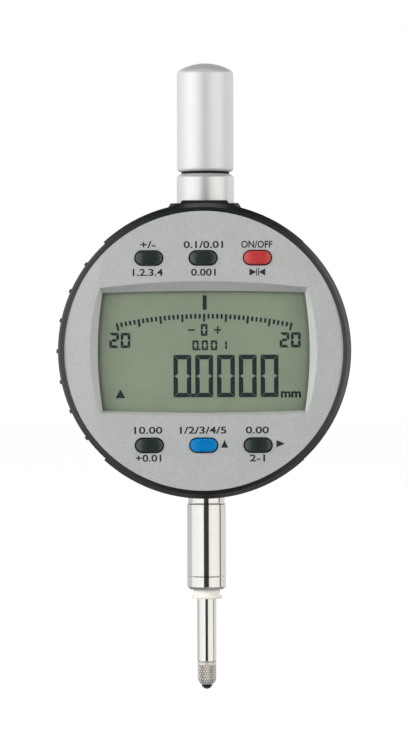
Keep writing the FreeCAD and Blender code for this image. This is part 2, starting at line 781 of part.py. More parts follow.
def make_upper_collar():
    outer = "collar_diameter / 2"
    turned_about_stem("upper_collar", [
        ("spring_chamber_diameter / 2", "collar_bottom"),
        (outer, "collar_bottom"),
        (outer, "collar_top - collar_edge"),
        (f"{outer} - collar_edge", "collar_top"),
        ("collar_neck_diameter / 2", "collar_top"),
        ("collar_neck_diameter / 2", "neck_top - spindle_edge"),
        ("collar_neck_diameter / 2 - spindle_edge", "neck_top"),
        ("guide_bush_radius", "neck_top"),
        ("guide_bush_radius", "spring_top"),
        ("spring_chamber_diameter / 2", "spring_top"),
    ], {2: "collar_edge"})
    turned_about_stem("upper_guide_bush", [
        ("bush_bore", "spring_top"),
        ("guide_bush_radius - press_clearance", "spring_top"),
        ("guide_bush_radius - press_clearance", "neck_top"),
        ("bush_bore", "neck_top"),
    ])
    turned_about_stem("cap_seal", [
        ("collar_neck_diameter / 2 + press_clearance", "collar_top"),
        ("seal_diameter / 2", "collar_top"),
        ("seal_diameter / 2", "cap_bottom"),
        ("collar_neck_diameter / 2 + press_clearance", "cap_bottom"),
    ])


def make_protective_cap():
    outer = "cap_diameter / 2"
    thread_bore = "collar_neck_diameter / 2 + free_clearance"
    # the crown and the round of its corner meet without a kink
    span = f"({outer} - cap_round)"
    depth = f"(({span}^2 - (cap_rise - cap_round)^2) / (2 * (cap_rise - cap_round)))"
    crown = f"(cap_rise + {depth})"
    turned_about_stem("protective_cap", [
        (thread_bore, "cap_bottom"),
        (f"{outer} - cap_foot_round", "cap_bottom"),
        (outer, "cap_bottom + cap_foot_round"),
        (outer, "cap_top - cap_rise"),
        (f"{span} * {crown} / ({crown} - cap_round)",
         f"cap_top - cap_rise + {depth} * cap_round / ({crown} - cap_round)"),
        ("0", "cap_top"),
        ("0", "cap_top - cap_top_thickness"),
        ("cap_bore / 2", "cap_top - cap_top_thickness"),
        ("cap_bore / 2", "cap_bottom + cap_thread_depth"),
        (thread_bore, "cap_bottom + cap_thread_depth"),
    ], {1: "cap_foot_round", 3: "cap_round", 4: crown})


def make_retaining_ring():
    body = turned_about_dial("retaining_ring", [
        ("spigot_bore", "-retaining_front"),
        ("retaining_radius", "-retaining_front"),
        ("retaining_radius", "-spigot_end"),
        ("spigot_bore", "-spigot_end"),
    ])
    doc.recompute()
    hole = new_sketch(body, "retaining_ring_hole_outline", "XZ_Plane", "retaining_front")
    hole_radius = "retaining_screw_diameter / 2 + press_clearance"
    circle(hole, "screw_circle * cos(post_angle)", "screw_circle * sin(post_angle)", hole_radius)
    hole_cut = cut(body, "retaining_ring_hole", hole, "retaining_thickness")
    around(body, "retaining_ring_holes", [hole_cut], "Y_Axis", "screw_count")
    dress_edges(body, "Chamfer", "retaining_countersinks",
                "(retaining_screw_head - retaining_screw_diameter) / 2",
                lambda edge: is_round(edge, number(hole_radius), y=-number("retaining_front")))
    ring_of_screws("retaining_ring_screws", "screw_circle", "screw_count", "post_angle", "-retaining_front",
                   "-1", "retaining_screw_head", "retaining_screw_diameter", "retaining_screw_length")
    inner = "friction_groove_radius + press_clearance"
    outer = "friction_groove_radius + friction_groove_width - press_clearance"
    turned_about_dial("friction_ring", [
        (inner, "-(back_rear - plate_clearance)"),
        (outer, "-(back_rear - plate_clearance)"),
        (outer, "-(case_front - friction_groove_depth)"),
        (inner, "-(case_front - friction_groove_depth)"),
    ])


# Sensor board, carrier, scale and guide inside the case

def make_sensor():
    board = new_body("sensor_board")
    sheet = new_sketch(board, "sensor_board_outline", "XZ_Plane", "cavity_front - sensor_board_thickness")
    pill(sheet, "0", "0", "2 * (screw_circle + sensor_board_margin)", "sensor_board_height")
    for side in ("-", ""):
        circle(sheet, side + "screw_circle", "0", "sensor_screw_diameter / 2 + press_clearance")
    raised(board, "sensor_sheet", sheet, "sensor_board_thickness")
    chip = new_sketch(board, "sensor_chip_outline", "XZ_Plane", "cavity_front")
    half_chip = "sensor_chip_size / 2"
    rectangle(chip, f"-{half_chip}", f"-{half_chip}", half_chip, half_chip)
    raised(board, "sensor_chip", chip, "chip_height")
    screws = new_body("sensor_board_screws")
    profile = new_sketch(screws, "sensor_screw_profile", "XY_Plane")
    shank = "screw_circle + sensor_screw_diameter / 2"
    head = "screw_circle + sensor_screw_head / 2"
    seat = "-(cavity_front - sensor_board_thickness)"
    outline(profile, [
        ("screw_circle", f"{seat} + clamp_screw_head_height"),
        ("screw_circle", "-cavity_front - sensor_screw_length + plate_clearance"),
        (shank, "-cavity_front - sensor_screw_length + plate_clearance"),
        (shank, seat),
        (head, seat),
        (head, f"{seat} + clamp_screw_head_height"),
    ])
    screw = turned(screws, "sensor_screw", profile, axis="Edge1")
    around(screws, "sensor_screw_pair", [screw], "Y_Axis", "sensor_screw_count")


def make_scale_carrier():
    body = new_body("scale_carrier")
    block = new_sketch(body, "carrier_outline", "XY_Plane", "carrier_bottom")
    rectangle(block, "-carrier_width / 2", "-carrier_front", "carrier_width / 2", "carrier_back")
    raised(body, "carrier_block", block, "carrier_height")
    dress_edges(body, "Chamfer", "carrier_edges", "carrier_edge",
                lambda edge: edge.BoundBox.ZLength > 1 and edge.BoundBox.YMin > 0)
    bore = new_sketch(body, "carrier_bore_outline", "XY_Plane", "carrier_bottom")
    circle(bore, "0", "0", "spindle_radius + press_clearance")
    cut(body, "carrier_bore", bore, "carrier_height", reverse=True)
    # the slit that the clamp screw closes
    slit = new_sketch(body, "carrier_slit_outline", "XY_Plane", "carrier_bottom")
    rectangle(slit, "0", "-carrier_slit / 2", "carrier_width / 2", "carrier_slit / 2")
    cut(body, "carrier_slit", slit, "carrier_height", reverse=True)
    thread = new_sketch(body, "clamp_thread_outline", "XZ_Plane", "-carrier_back")
    screw_x = "(spindle_radius + carrier_width / 2) / 2"
    circle(thread, screw_x, "carrier_middle", "clamp_screw_diameter / 2 + press_clearance")
    cut(body, "clamp_thread", thread, "carrier_back + carrier_front / 2", reverse=True)
    pin_seat = new_sketch(body, "pin_seat_outline", "YZ_Plane", "-carrier_width / 2")
    circle(pin_seat, "0", "carrier_middle", "guide_pin_diameter / 2 + press_clearance")
    cut(body, "pin_seat", pin_seat, "carrier_width / 2 - spindle_radius - free_clearance", reverse=True)
    screw = new_body("carrier_screw")
    shank = new_sketch(screw, "clamp_screw_outline", "XZ_Plane", "-carrier_back")
    circle(shank, screw_x, "carrier_middle", "clamp_screw_diameter / 2")
    raised(screw, "clamp_screw_shank", shank, "carrier_back + carrier_front / 2")
    head = new_sketch(screw, "clamp_screw_head_outline", "XZ_Plane", "-carrier_back")
    circle(head, screw_x, "carrier_middle", "clamp_screw_head / 2")
    raised(screw, "clamp_screw_head_pad", head, "clamp_screw_head_height / 2", reverse=True)


def make_guide():
    pin = new_body("guide_pin")
    section = new_sketch(pin, "guide_pin_outline", "YZ_Plane", "-guide_pin_reach")
    circle(section, "0", "carrier_middle", "guide_pin_diameter / 2")
    raised(pin, "guide_pin_pad", section, "guide_pin_reach - spindle_radius - free_clearance")
    # a rail beside the spindle, with two feet on the case's front wall and a slot for the pin
    rail = new_body("guide_rail")
    side = new_sketch(rail, "rail_outline", "YZ_Plane", "-(rail_offset + rail_thickness)")
    bar = "carrier_front"
    outline(side, [
        ("-cavity_front", "-rail_half_height"),
        (bar, "-rail_half_height"),
        (bar, "rail_half_height"),
        ("-cavity_front", "rail_half_height"),
        ("-cavity_front", "rail_half_height - rail_foot"),
        (f"-{bar}", "rail_half_height - rail_foot"),
        (f"-{bar}", "-(rail_half_height - rail_foot)"),
        ("-cavity_front", "-(rail_half_height - rail_foot)"),
    ])
    raised(rail, "rail_bar", side, "rail_thickness")
    slot = new_sketch(rail, "rail_slot_outline", "YZ_Plane", "-(rail_offset + rail_thickness)")
    gap = "(guide_pin_diameter / 2 + free_clearance)"
    rectangle(slot, f"-{gap}", f"carrier_middle - {gap}", gap, f"carrier_middle + travel + {gap}")
    cut(rail, "rail_slot", slot, "rail_thickness", reverse=True)


def make_measuring_scale():
    body = new_body("measuring_scale")
    strip = new_sketch(body, "scale_outline", "XZ_Plane", "carrier_front")
    rectangle(strip, "-scale_width / 2", "scale_bottom", "scale_width / 2", "carrier_top - scale_margin")
    raised(body, "scale_strip", strip, "scale_thickness")


# Return spring: a helix of square wire between the carrier and the collar's step
def make_return_spring():
    body = new_body("return_spring")
    coil = body.newObject("PartDesign::AdditiveHelix", "spring_coil")
    wire = new_sketch(body, "spring_wire_outline", "XZ_Plane")
    bottom = "carrier_top + plate_clearance"
    rectangle(wire, "spring_diameter / 2 - spring_wire", bottom,
              "spring_diameter / 2", f"{bottom} + spring_wire")
    coil.Profile = wire
    coil.ReferenceAxis = (wire, ["V_Axis"])
    coil.Mode = "pitch-height-angle"
    coil.setExpression("Pitch", bound("spring_pitch"))
    coil.setExpression("Height", bound("spring_top - carrier_top - 2 * plate_clearance - spring_wire"))
    body.Tip = coil


# Spindle and contact point

def make_spindle():
    hole_radius = "contact_thread_diameter / 2 + press_clearance"
    hole_end = "contact_top + contact_thread_length + free_clearance"
    turned_about_stem("spindle", [
        ("0", hole_end),
        (hole_radius, hole_end),
        (hole_radius, "contact_top"),
        ("spindle_radius - stem_edge", "contact_top"),
        ("spindle_radius", "contact_top + stem_edge"),
        ("spindle_radius", "spindle_top - spindle_edge"),
        ("spindle_radius - spindle_edge", "spindle_top"),
        ("0", "spindle_top"),
    ])
    taper_round = "(contact_taper_length^2 + contact_taper_width^2) / (2 * contact_taper_width)"
    turned_about_stem("contact_point", [
        ("0", "contact_top + contact_thread_length"),
        ("contact_thread_diameter / 2", "contact_top + contact_thread_length"),
        ("contact_thread_diameter / 2", "contact_top"),
        ("spindle_radius - stem_edge", "contact_top"),
        ("spindle_radius", "contact_top - stem_edge"),
        ("spindle_radius", "contact_end + contact_taper_length"),
        ("spindle_radius - contact_taper_width", "contact_end"),
        ("ball_diameter / 2", "contact_end"),
        ("ball_diameter / 2", "ball_height + (sqrt(2) - 1) * ball_diameter / 2"),
        ("0", "ball_height + sqrt(2) * ball_diameter / 2"),
    ], {5: f"-({taper_round})"})
    ball = doc.addObject("Part::Sphere", "contact_ball")
    ball.Label = "contact_ball"
    ball.setExpression("Radius", bound("ball_diameter / 2 - press_clearance"))
    ball.setExpression("Placement.Base.z", bound("dial_height + ball_height"))
    pieces.append(ball)


# Display unit

def make_bezel_ring():
    body = new_body("bezel_ring")
    ring = new_sketch(body, "bezel_profile", "XY_Plane")
    seat = "plate_radius + plate_clearance"
    outline(ring, [
        (seat, "-bezel_front"),
        ("bezel_radius - bezel_bevel_width", "-bezel_front"),
        ("bezel_radius", "-(bezel_front - bezel_bevel_depth)"),
        ("bezel_radius", "-(back_rear + bezel_rear_edge)"),
        ("bezel_radius - bezel_rear_edge", "-back_rear"),
        ("back_radius + plate_clearance", "-back_rear"),
        ("back_radius + plate_clearance", "-back_front"),
        ("bezel_inside", "-back_front"),
        ("bezel_inside", "-plate_rear"),
        (seat, "-plate_rear"),
    ])
    turned(body, "bezel", ring)
    # the ring is turned down a little on its left and right
    for name, inner, outer in (
        ("right", "bezel_radius - right_relief", "bezel_radius + right_relief"),
        ("left", "-(bezel_radius + left_relief)", "-(bezel_radius - left_relief)"),
    ):
        relief = new_sketch(body, name + "_relief_profile", "XY_Plane")
        rectangle(relief, inner, "-bezel_front", outer, "-back_rear")
        turned(body, name + "_relief", relief, kind="Groove", angle="relief_angle", midplane=True)
    # ribs on the left
    rib = new_sketch(body, "rib_outline", "XZ_Plane", "back_rear + bezel_rear_edge",
                     Vector(0, 0, 1), "rib_spread / 2")
    root = "bezel_radius - left_relief"
    rectangle(rib, f"-({root} + rib_height)", "-rib_width / 2",
              f"-({root} - left_relief)", "rib_width / 2")
    rib_pad = raised(body, "rib", rib, "bezel_front - bezel_bevel_depth - back_rear - bezel_rear_edge")
    around(body, "ribs", [rib_pad], "Y_Axis", "rib_count", "rib_spread")
    # posts for the screws of the display back
    post = new_sketch(body, "back_post_outline", "XZ_Plane", "back_front")
    circle(post, "back_post_circle * cos(back_post_angle)", "back_post_circle * sin(back_post_angle)",
           "back_post_radius")
    post_pad = raised(body, "back_post", post, "board_rear - back_front")
    around(body, "back_posts", [post_pad], "Y_Axis", "screw_count")
    hole = new_sketch(body, "back_post_hole_outline", "XZ_Plane", "back_front")
    circle(hole, "back_post_circle * cos(back_post_angle)", "back_post_circle * sin(back_post_angle)",
           "back_screw_diameter / 2 + press_clearance")
    hole_cut = cut(body, "back_post_hole", hole, "back_screw_length", reverse=True)
    around(body, "back_post_holes", [hole_cut], "Y_Axis", "screw_count")


def make_front_plate():
    body = new_body("front_plate")
    disc = new_sketch(body, "plate_outline", "XZ_Plane", "plate_rear")
    circle(disc, "0", "0", "plate_radius")
    raised(body, "plate_disc", disc, "plate_thickness")
    # each side slopes back outside a crease that is an arc from top to bottom
    for side, sign in (("right", ""), ("left", "-")):
        slope = new_sketch(body, side + "_slope_profile", "XY_Plane")
        reach = "(plate_radius - crease_reach + plate_rim)"
        centre = f"{'-' if sign == '' else ''}crease_centre"
        start = f"{sign}crease_reach"
        finish = f"{sign}(crease_reach + {reach})"
        corners = [(start, "-plate_front"), (finish, "-plate_front"),
                   (finish, f"-(plate_front - {reach} * tan(crease_angle))")]
        outline(slope, corners)
        axis = sketch_axis(slope, centre)
        turned(body, side + "_slope", slope, kind="Groove", axis=axis, angle="slope_turn", midplane=True)
    # the window's recess: four sloping walls lofted from the outer outline to the inner one
    outer = new_sketch(body, "recess_outline", "XZ_Plane", "plate_front")
    bowed_window(outer, "recess_corner_x", "recess_corner_top", "recess_corner_bottom", "recess_side_bow",
                 "recess_top_bow", "recess_bottom_bow")
    inner = new_sketch(body, "window_outline", "XZ_Plane", "plate_rear")
    bowed_window(inner, "window_corner_x", "window_corner_top", "window_corner_bottom", "window_side_bow",
                 "window_top_bow", "window_bottom_bow")
    loft = feature(body, "SubtractiveLoft", "window_recess", outer, Sections=[inner], Ruled=True)
    body.Tip = loft
    # key slots, two rows of three
    slots = new_sketch(body, "key_slot_outline", "XZ_Plane", "plate_rear")
    pill(slots, "-key_pitch", "upper_row", "slot_width", "slot_height")
    pill(slots, "-key_pitch", "-lower_row", "slot_width", "slot_height")
    slot_cut = cut(body, "key_slots", slots, "plate_thickness", reverse=True)
    along_row(body, "key_slot_rows", [slot_cut], "X_Axis", "key_columns", "2 * key_pitch")


# A construction line down the sketch at x, as an axis to turn about
def sketch_axis(sketch, x):
    line = Part.LineSegment(Vector(number(x), 0, 0), Vector(number(x), 1, 0))
    edge = sketch.addGeometry(line, True)
    fix_point(sketch, edge, 1, x, "0")
    fix_point(sketch, edge, 2, x, "1")
    return "Axis0"


def make_keys():
    rows = (("upper", "upper_row"), ("lower", "-lower_row"))
    columns = (("left", "-key_pitch"), ("middle", "0"), ("right", "key_pitch"))
    for row, height in rows:
        for column, across in columns:
            body = new_body(f"key_{row}_{column}")
            flange = new_sketch(body, f"{row}_{column}_flange", "XZ_Plane", "key_rear")
            pill(flange, across, height, "slot_width + 2 * key_flange", "slot_height + 2 * key_flange")
            raised(body, f"{row}_{column}_flange_pad", flange, "key_flange_thickness")
            button = new_sketch(body, f"{row}_{column}_button", "XZ_Plane", "key_rear")
            pill(button, across, height, "slot_width - 2 * key_gap", "slot_height - 2 * key_gap")
            raised(body, f"{row}_{column}_button_pad", button, "key_front - key_rear")
            # the top is crowned from side to side, and its rim is rounded
            crown = new_sketch(body, f"{row}_{column}_crown", "XY_Plane", height)
            half = "slot_width / 2"
            low = f"-(key_front - key_crown + sqrt(key_crown^2 - ({half})^2))"
            outline(crown, [
                (f"{across} - {half}", "-(key_front + key_proud)"),
                (f"{across} + {half}", "-(key_front + key_proud)"),
                (f"{across} + {half}", low),
                (f"{across} - {half}", low),
            ], {2: "-key_crown"})
            cut(body, f"{row}_{column}_crown_cut", crown, "slot_height", both_sides=True)
            plate = -number("plate_front")
            dress_edges(body, "Fillet", f"{row}_{column}_rim", "key_edge",
                        lambda edge: edge.BoundBox.YMax < plate)


def make_panel():
    window = new_body("lcd_window")
    pane = new_sketch(window, "pane_outline", "XZ_Plane", "pane_rear")
    half_width = "pane_width / 2"
    half_height = "pane_height / 2"
    rectangle(pane, f"-{half_width}", f"-{half_height}", half_width, half_height)
    raised(window, "pane", pane, "pane_thickness")
    panel = new_body("lcd_panel")
    glass = new_sketch(panel, "glass_outline", "XZ_Plane", "panel_rear")
    rectangle(glass, f"-{half_width}", f"-{half_height}", half_width, half_height)
    raised(panel, "glass", glass, "panel_thickness")
    frame = new_body("lcd_frame")
    border = new_sketch(frame, "frame_outline", "XZ_Plane", "board_front")
    reach = f"{half_width} + frame_wall"
    rise = f"{half_height} + frame_wall"
    rectangle(border, f"-({reach})", f"-({rise})", reach, rise)
    raised(frame, "frame_block", border, "plate_rear - board_front")
    opening = new_sketch(frame, "frame_opening", "XZ_Plane", "board_front")
    inner_x = f"{half_width} + plate_clearance"
    inner_z = f"{half_height} + plate_clearance"
    rectangle(opening, f"-({inner_x})", f"-({inner_z})", inner_x, inner_z)
    cut(frame, "frame_hole", opening, "plate_rear - board_front", reverse=True)
    dress_edges(frame, "Fillet", "frame_corners", "frame_corner",
                lambda edge: edge.BoundBox.YLength > hair and near(abs(edge.BoundBox.XMax), number(reach)))
    strips = new_body("lcd_connectors")
    strip = new_sketch(strips, "connector_outline", "XZ_Plane", "board_front")
    row = f"({half_height} - connector_width)"
    for side in ("-", ""):
        middle = f"{side}{row}"
        rectangle(strip, "-connector_length / 2", f"{middle} - connector_width / 2", "connector_length / 2",
                  f"{middle} + connector_width / 2")
    raised(strips, "connector_strips", strip, "connector_height")


def make_main_board():
    board = new_body("main_board")
    disc = new_sketch(board, "main_board_outline", "XZ_Plane", "board_rear")
    circle(disc, "0", "0", "board_radius")
    raised(board, "main_board_disc", disc, "board_thickness")
    parts_body = new_body("board_components")
    chips = new_sketch(parts_body, "chip_outline", "XZ_Plane", "board_rear")
    rectangle(chips, "-chip_size / 2", "-chip_size / 2", "chip_size / 2", "chip_size / 2")
    for side in ("-", ""):
        middle = f"{side}small_chip_offset"
        rectangle(chips, f"{middle} - small_chip_size / 2", "-small_chip_size / 2",
                  f"{middle} + small_chip_size / 2", "small_chip_size / 2")
    raised(parts_body, "chips", chips, "chip_height", reverse=True)


def make_key_mats():
    for row, height in (("upper", "upper_row"), ("lower", "-lower_row")):
        body = new_body(f"key_mat_{row}")
        sheet = new_sketch(body, f"{row}_mat_outline", "XZ_Plane", "board_front")
        reach = "(key_pitch + mat_margin)"
        rectangle(sheet, f"-{reach}", f"({height}) - mat_height / 2", reach, f"({height}) + mat_height / 2")
        raised(body, f"{row}_mat", sheet, "mat_thickness")
        dome = new_sketch(body, f"{row}_dome_outline", "XZ_Plane", "mat_front")
        circle(dome, "-key_pitch", height, "dome_diameter / 2")
        dome_pad = raised(body, f"{row}_dome", dome, "dome_top - mat_front")
        along_row(body, f"{row}_domes", [dome_pad], "X_Axis", "key_columns", "2 * key_pitch")


def make_display_back():
    body = turned_about_dial("display_back", [
        ("back_hole", "-back_front"),
        ("back_radius", "-back_front"),
        ("back_radius", "-back_rear"),
        ("back_hole", "-back_rear"),
    ])
    doc.recompute()
    hole_radius = "back_screw_diameter / 2 + press_clearance"
    hole = new_sketch(body, "display_back_hole_outline", "XZ_Plane", "back_rear")
    circle(hole, "back_post_circle * cos(back_post_angle)", "back_post_circle * sin(back_post_angle)",
           hole_radius)
    hole_cut = cut(body, "display_back_hole", hole, "back_thickness", reverse=True)
    around(body, "display_back_holes", [hole_cut], "Y_Axis", "screw_count")
    dress_edges(body, "Chamfer", "display_back_countersinks", "(back_screw_head - back_screw_diameter) / 2",
                lambda edge: is_round(edge, number(hole_radius), y=-number("back_rear")))
    seat = new_sketch(body, "stop_pin_seat_outline", "XZ_Plane", "back_rear")
    circle(seat, "0", "-stop_circle", "stop_pin_diameter / 2 + press_clearance")
    cut(body, "stop_pin_seat", seat, "back_thickness", reverse=True)
    ring_of_screws("display_screws", "back_post_circle", "screw_count", "back_post_angle", "-back_rear", "1",
                   "back_screw_head", "back_screw_diameter", "back_screw_length")
    pin = new_body("stop_pin")
    section = new_sketch(pin, "stop_pin_outline", "XZ_Plane",
                         "case_front - stop_groove_depth + free_clearance")
    circle(section, "0", "-stop_circle", "stop_pin_diameter / 2")
    raised(pin, "stop_pin_pad", section, "back_front - case_front + stop_groove_depth - free_clearance")


def failed_objects():
    failed = []
    for made in doc.Objects:
        if "Invalid" in made.State or "Error" in made.State:
            failed.append(f"{made.Name}: {made.State}")
    for piece in pieces:
        if piece.Shape.isNull() or not piece.Shape.isValid() or not piece.Shape.Solids:
            failed.append(f"{piece.Label}: no valid solid")
    return failed


def write_steps():
    os.makedirs("parts", exist_ok=True)
    for piece in pieces:
        piece.Shape.exportStep(f"parts/{piece.Label}.step")


fill_sheets()
make_rear_housing()
make_back_cover()
make_cover_screws()
make_battery()
make_battery_lid()
make_stem()
make_stem_end_bush()
make_wiper_bush()
make_upper_collar()
make_protective_cap()
make_retaining_ring()
make_sensor()
make_scale_carrier()
make_guide()
make_measuring_scale()
make_return_spring()
make_spindle()
make_bezel_ring()
make_front_plate()
make_keys()
make_panel()
make_main_board()
make_key_mats()
make_display_back()
doc.recompute()
problems = failed_objects()
if problems:
    raise RuntimeError("\n".join(problems))
write_steps()
print(f"{len(pieces)} pieces written")
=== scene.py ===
import math

import bmesh
import bpy
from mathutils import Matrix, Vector


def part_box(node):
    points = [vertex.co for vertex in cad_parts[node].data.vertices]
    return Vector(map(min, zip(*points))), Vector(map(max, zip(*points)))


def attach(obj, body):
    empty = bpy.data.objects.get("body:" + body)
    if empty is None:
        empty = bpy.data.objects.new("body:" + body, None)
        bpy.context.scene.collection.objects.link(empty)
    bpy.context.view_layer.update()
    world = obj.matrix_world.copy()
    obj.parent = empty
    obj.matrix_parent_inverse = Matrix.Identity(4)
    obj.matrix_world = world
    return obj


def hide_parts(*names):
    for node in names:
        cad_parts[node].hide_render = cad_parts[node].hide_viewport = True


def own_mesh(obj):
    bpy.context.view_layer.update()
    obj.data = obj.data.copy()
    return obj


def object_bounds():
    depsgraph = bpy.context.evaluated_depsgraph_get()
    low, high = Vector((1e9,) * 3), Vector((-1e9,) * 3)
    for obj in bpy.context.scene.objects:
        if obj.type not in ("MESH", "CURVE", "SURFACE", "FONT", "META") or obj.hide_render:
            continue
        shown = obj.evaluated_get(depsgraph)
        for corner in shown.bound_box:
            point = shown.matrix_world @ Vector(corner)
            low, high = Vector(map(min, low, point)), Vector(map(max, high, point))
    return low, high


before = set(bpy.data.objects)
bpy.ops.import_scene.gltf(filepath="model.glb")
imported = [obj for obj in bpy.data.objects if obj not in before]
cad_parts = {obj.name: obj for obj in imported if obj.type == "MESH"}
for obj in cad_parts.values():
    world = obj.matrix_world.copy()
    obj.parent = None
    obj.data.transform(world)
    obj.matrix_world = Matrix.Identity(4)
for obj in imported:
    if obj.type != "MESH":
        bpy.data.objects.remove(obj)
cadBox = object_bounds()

# A digital indicator: metres, the dial faces -Y, the stem's axis is Z.
mm = 0.001
weldGap = 1e-6    # points nearer than this, in metres, are one
plateLow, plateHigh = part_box("front_plate")
dialHeight = (plateLow.z + plateHigh.z) / 2
plateFront = plateLow.y
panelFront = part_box("lcd_panel")[0].y
scene = bpy.context.scene
scene.view_settings.view_transform = "Standard"


def linearOf(hexCode):
    shares = [int(hexCode[at:at + 2], 16) / 255 for at in (1, 3, 5)]
    return [v / 12.92 if v <= 0.04045 else ((v + 0.055) / 1.055) ** 2.4 for v in shares] + [1.0]


# Adds a node with its settings. Its inputs are listed in order, or named or numbered in a dictionary:
# a value, a colour as sRGB hex, a socket, or another node, which stands for its result.
def addNode(tree, kind, inputs=(), **settings):
    node = tree.nodes.new(kind)
    for name, value in settings.items():
        setattr(node, name, value)
    given = inputs if isinstance(inputs, dict) else dict(enumerate(inputs))
    for key, value in given.items():
        if isinstance(value, bpy.types.Node):
            value = next(socket for socket in value.outputs if socket.enabled)
        if isinstance(value, bpy.types.NodeSocket):
            tree.links.new(value, node.inputs[key])
        elif isinstance(value, str):
            node.inputs[key].default_value = linearOf(value)
        else:
            node.inputs[key].default_value = value
    return node


# Each finish starts from a new material and the object's own coordinates, in metres
def startFinish(name):
    material = bpy.data.materials.new(name)
    material.use_nodes = True
    tree = material.node_tree
    tree.nodes.clear()
    place = addNode(tree, "ShaderNodeTexCoord").outputs["Object"]
    return material, tree, place


# Each finish ends in a tone, a share between two colours, and a sheen, a share between two roughnesses.
# Its reliefs are heights with their depth in mm and strength, each laid over the one before.
def closeFinish(tree, tone, sheen, reliefs=(), more=None):
    paleShare, deep, pale = tone
    dullShare, glossy, dull = sheen
    colour = addNode(tree, "ShaderNodeMix", {0: paleShare, 6: deep, 7: pale}, data_type="RGBA")
    rough = addNode(tree, "ShaderNodeMapRange", {"Value": dullShare, "To Min": glossy, "To Max": dull})
    inputs = {"Base Color": colour, "Roughness": rough, **(more or {})}
    for height, depth, strength in reliefs:
        relief = {"Height": height, "Distance": depth * mm, "Strength": strength}
        if "Normal" in inputs:
            relief["Normal"] = inputs["Normal"]
        inputs["Normal"] = addNode(tree, "ShaderNodeBump", relief)
    shader = addNode(tree, "ShaderNodeBsdfPrincipled", inputs)
    addNode(tree, "ShaderNodeOutputMaterial", {"Surface": shader})


# A grain of one size in mm: its value, 0 to 1, spread about the middle.
# Most real grains are finer. They are drawn at 0.15 mm or more, about a pixel, so that they show.
def grainOf(tree, place, size, stretch=(1, 1, 1), detail=2.0, low=0.3, high=0.7):
    laid = addNode(tree, "ShaderNodeMapping", {"Vector": place, "Scale": stretch})
    noise = addNode(tree, "ShaderNodeTexNoise", {"Vector": laid, "Scale": 1 / (size * mm), "Detail": detail})
    return addNode(tree, "ShaderNodeMapRange", {"Value": noise, "From Min": low, "From Max": high})


# Silver lacquer sprayed on a die-cast plate: a dull grey with fine bright and dark flakes.
# A real flake is about 0.05 mm; it is drawn at 0.3 mm so that it shows.
def sprayedSilver():
    material, tree, place = startFinish("sprayedSilver")
    flake = grainOf(tree, place, 0.3, low=0.25, high=0.75)
    cloud = grainOf(tree, place, 5.0, low=0.2, high=0.8)
    flaked = addNode(tree, "ShaderNodeMix", {0: flake, 6: "#a9abaa", 7: "#ced0cf"}, data_type="RGBA")
    clouded = addNode(tree, "ShaderNodeMix", {0: cloud, 6: "#b7b9b7", 7: "#c3c5c3"}, data_type="RGBA")
    closeFinish(tree, (0.5, flaked, clouded), (flake, 0.42, 0.6), [(flake, 0.02, 0.5)], {"Metallic": 0.25})
    return material


# Glass-filled nylon, moulded in a spark-eroded tool: nearly black with a soft broken sheen.
# A crown above 0 leans the face outward from the dial's centre, as on a slightly domed ring.
def mouldedNylon(name, crown=0.0):
    material, tree, place = startFinish(name)
    texture = grainOf(tree, place, 0.25, detail=3.0)
    wear = grainOf(tree, place, 4.0)
    reliefs = [(texture, 0.012, 0.5)]
    if crown > 0:
        fromCentre = addNode(tree, "ShaderNodeVectorMath", [place, (0, 0, dialHeight)], operation="SUBTRACT")
        flat = addNode(tree, "ShaderNodeVectorMath", [fromCentre, (1, 0, 1)], operation="MULTIPLY")
        reach = addNode(tree, "ShaderNodeVectorMath", [flat], operation="LENGTH")
        fall = addNode(tree, "ShaderNodeMath", [reach, -crown], operation="MULTIPLY")
        reliefs.insert(0, (fall, 1 / mm, 1.0))    # its height is in metres already
    closeFinish(tree, (wear, "#0e1513", "#141b19"), (texture, 0.3, 0.4), reliefs, {"Specular IOR Level": 0.9})
    return material


# Turned metal: rings left by the tool run round it, under an even grain.
# Real rings and grains are finer; they are drawn at 0.15 to 0.3 mm so that they show.
def turnedMetal(name, deep, pale, sheen, grain, ringDepth, grainDepth, metallic=1.0):
    material, tree, place = startFinish(name)
    blast = grainOf(tree, place, grain, detail=3.0)
    rings = grainOf(tree, place, 0.15, stretch=(0.03, 0.03, 1.0))
    both = addNode(tree, "ShaderNodeMath", [blast, rings], operation="ADD")
    half = addNode(tree, "ShaderNodeMath", [both, 0.5], operation="MULTIPLY")
    closeFinish(tree, (half, deep, pale), (half, *sheen),
                [(rings, ringDepth, 0.3), (blast, grainDepth, 0.4)], {"Metallic": metallic})
    return material


# Steel turned and knurled: its grooves are darkened with depth as painted shade, while its crests keep the
# steel's colour.
# A groove is told by how far the surface lies inside the point's outline.
def knurledSteel(low, radius, depth, taperLength, taperRound):
    unshadedDepth = 0.5    # share of a groove's depth, from the top, that keeps the steel's colour; deeper lies the painted shade
    material, tree, place = startFinish("knurledSteel")
    rub = grainOf(tree, place, 0.3)
    at = addNode(tree, "ShaderNodeSeparateXYZ", [place]).outputs
    ySquare = addNode(tree, "ShaderNodeMath", [at["Y"], at["Y"]], operation="MULTIPLY")
    squares = addNode(tree, "ShaderNodeMath", [at["X"], at["X"], ySquare], operation="MULTIPLY_ADD")
    reach = addNode(tree, "ShaderNodeMath", [squares], operation="SQRT")
    up = addNode(tree, "ShaderNodeMath", [at["Z"], low], operation="SUBTRACT")
    outline = outlineAt(tree, up, radius, taperLength, taperRound)
    inside = addNode(tree, "ShaderNodeMath", [reach, outline], operation="SUBTRACT")
    # painted shade: the colour darkens towards a groove's bottom, down to #9a928c
    unshadedShare = addNode(tree, "ShaderNodeMapRange",
                    {"Value": inside, "From Min": -depth, "From Max": -unshadedDepth * depth})
    steel = addNode(tree, "ShaderNodeMix", {0: rub, 6: "#e6e1dc", 7: "#fbf8f5"}, data_type="RGBA")
    closeFinish(tree, (unshadedShare, "#9a928c", steel), (rub, 0.3, 0.4), [(rub, 0.001, 0.3)], {"Metallic": 0.6})
    return material


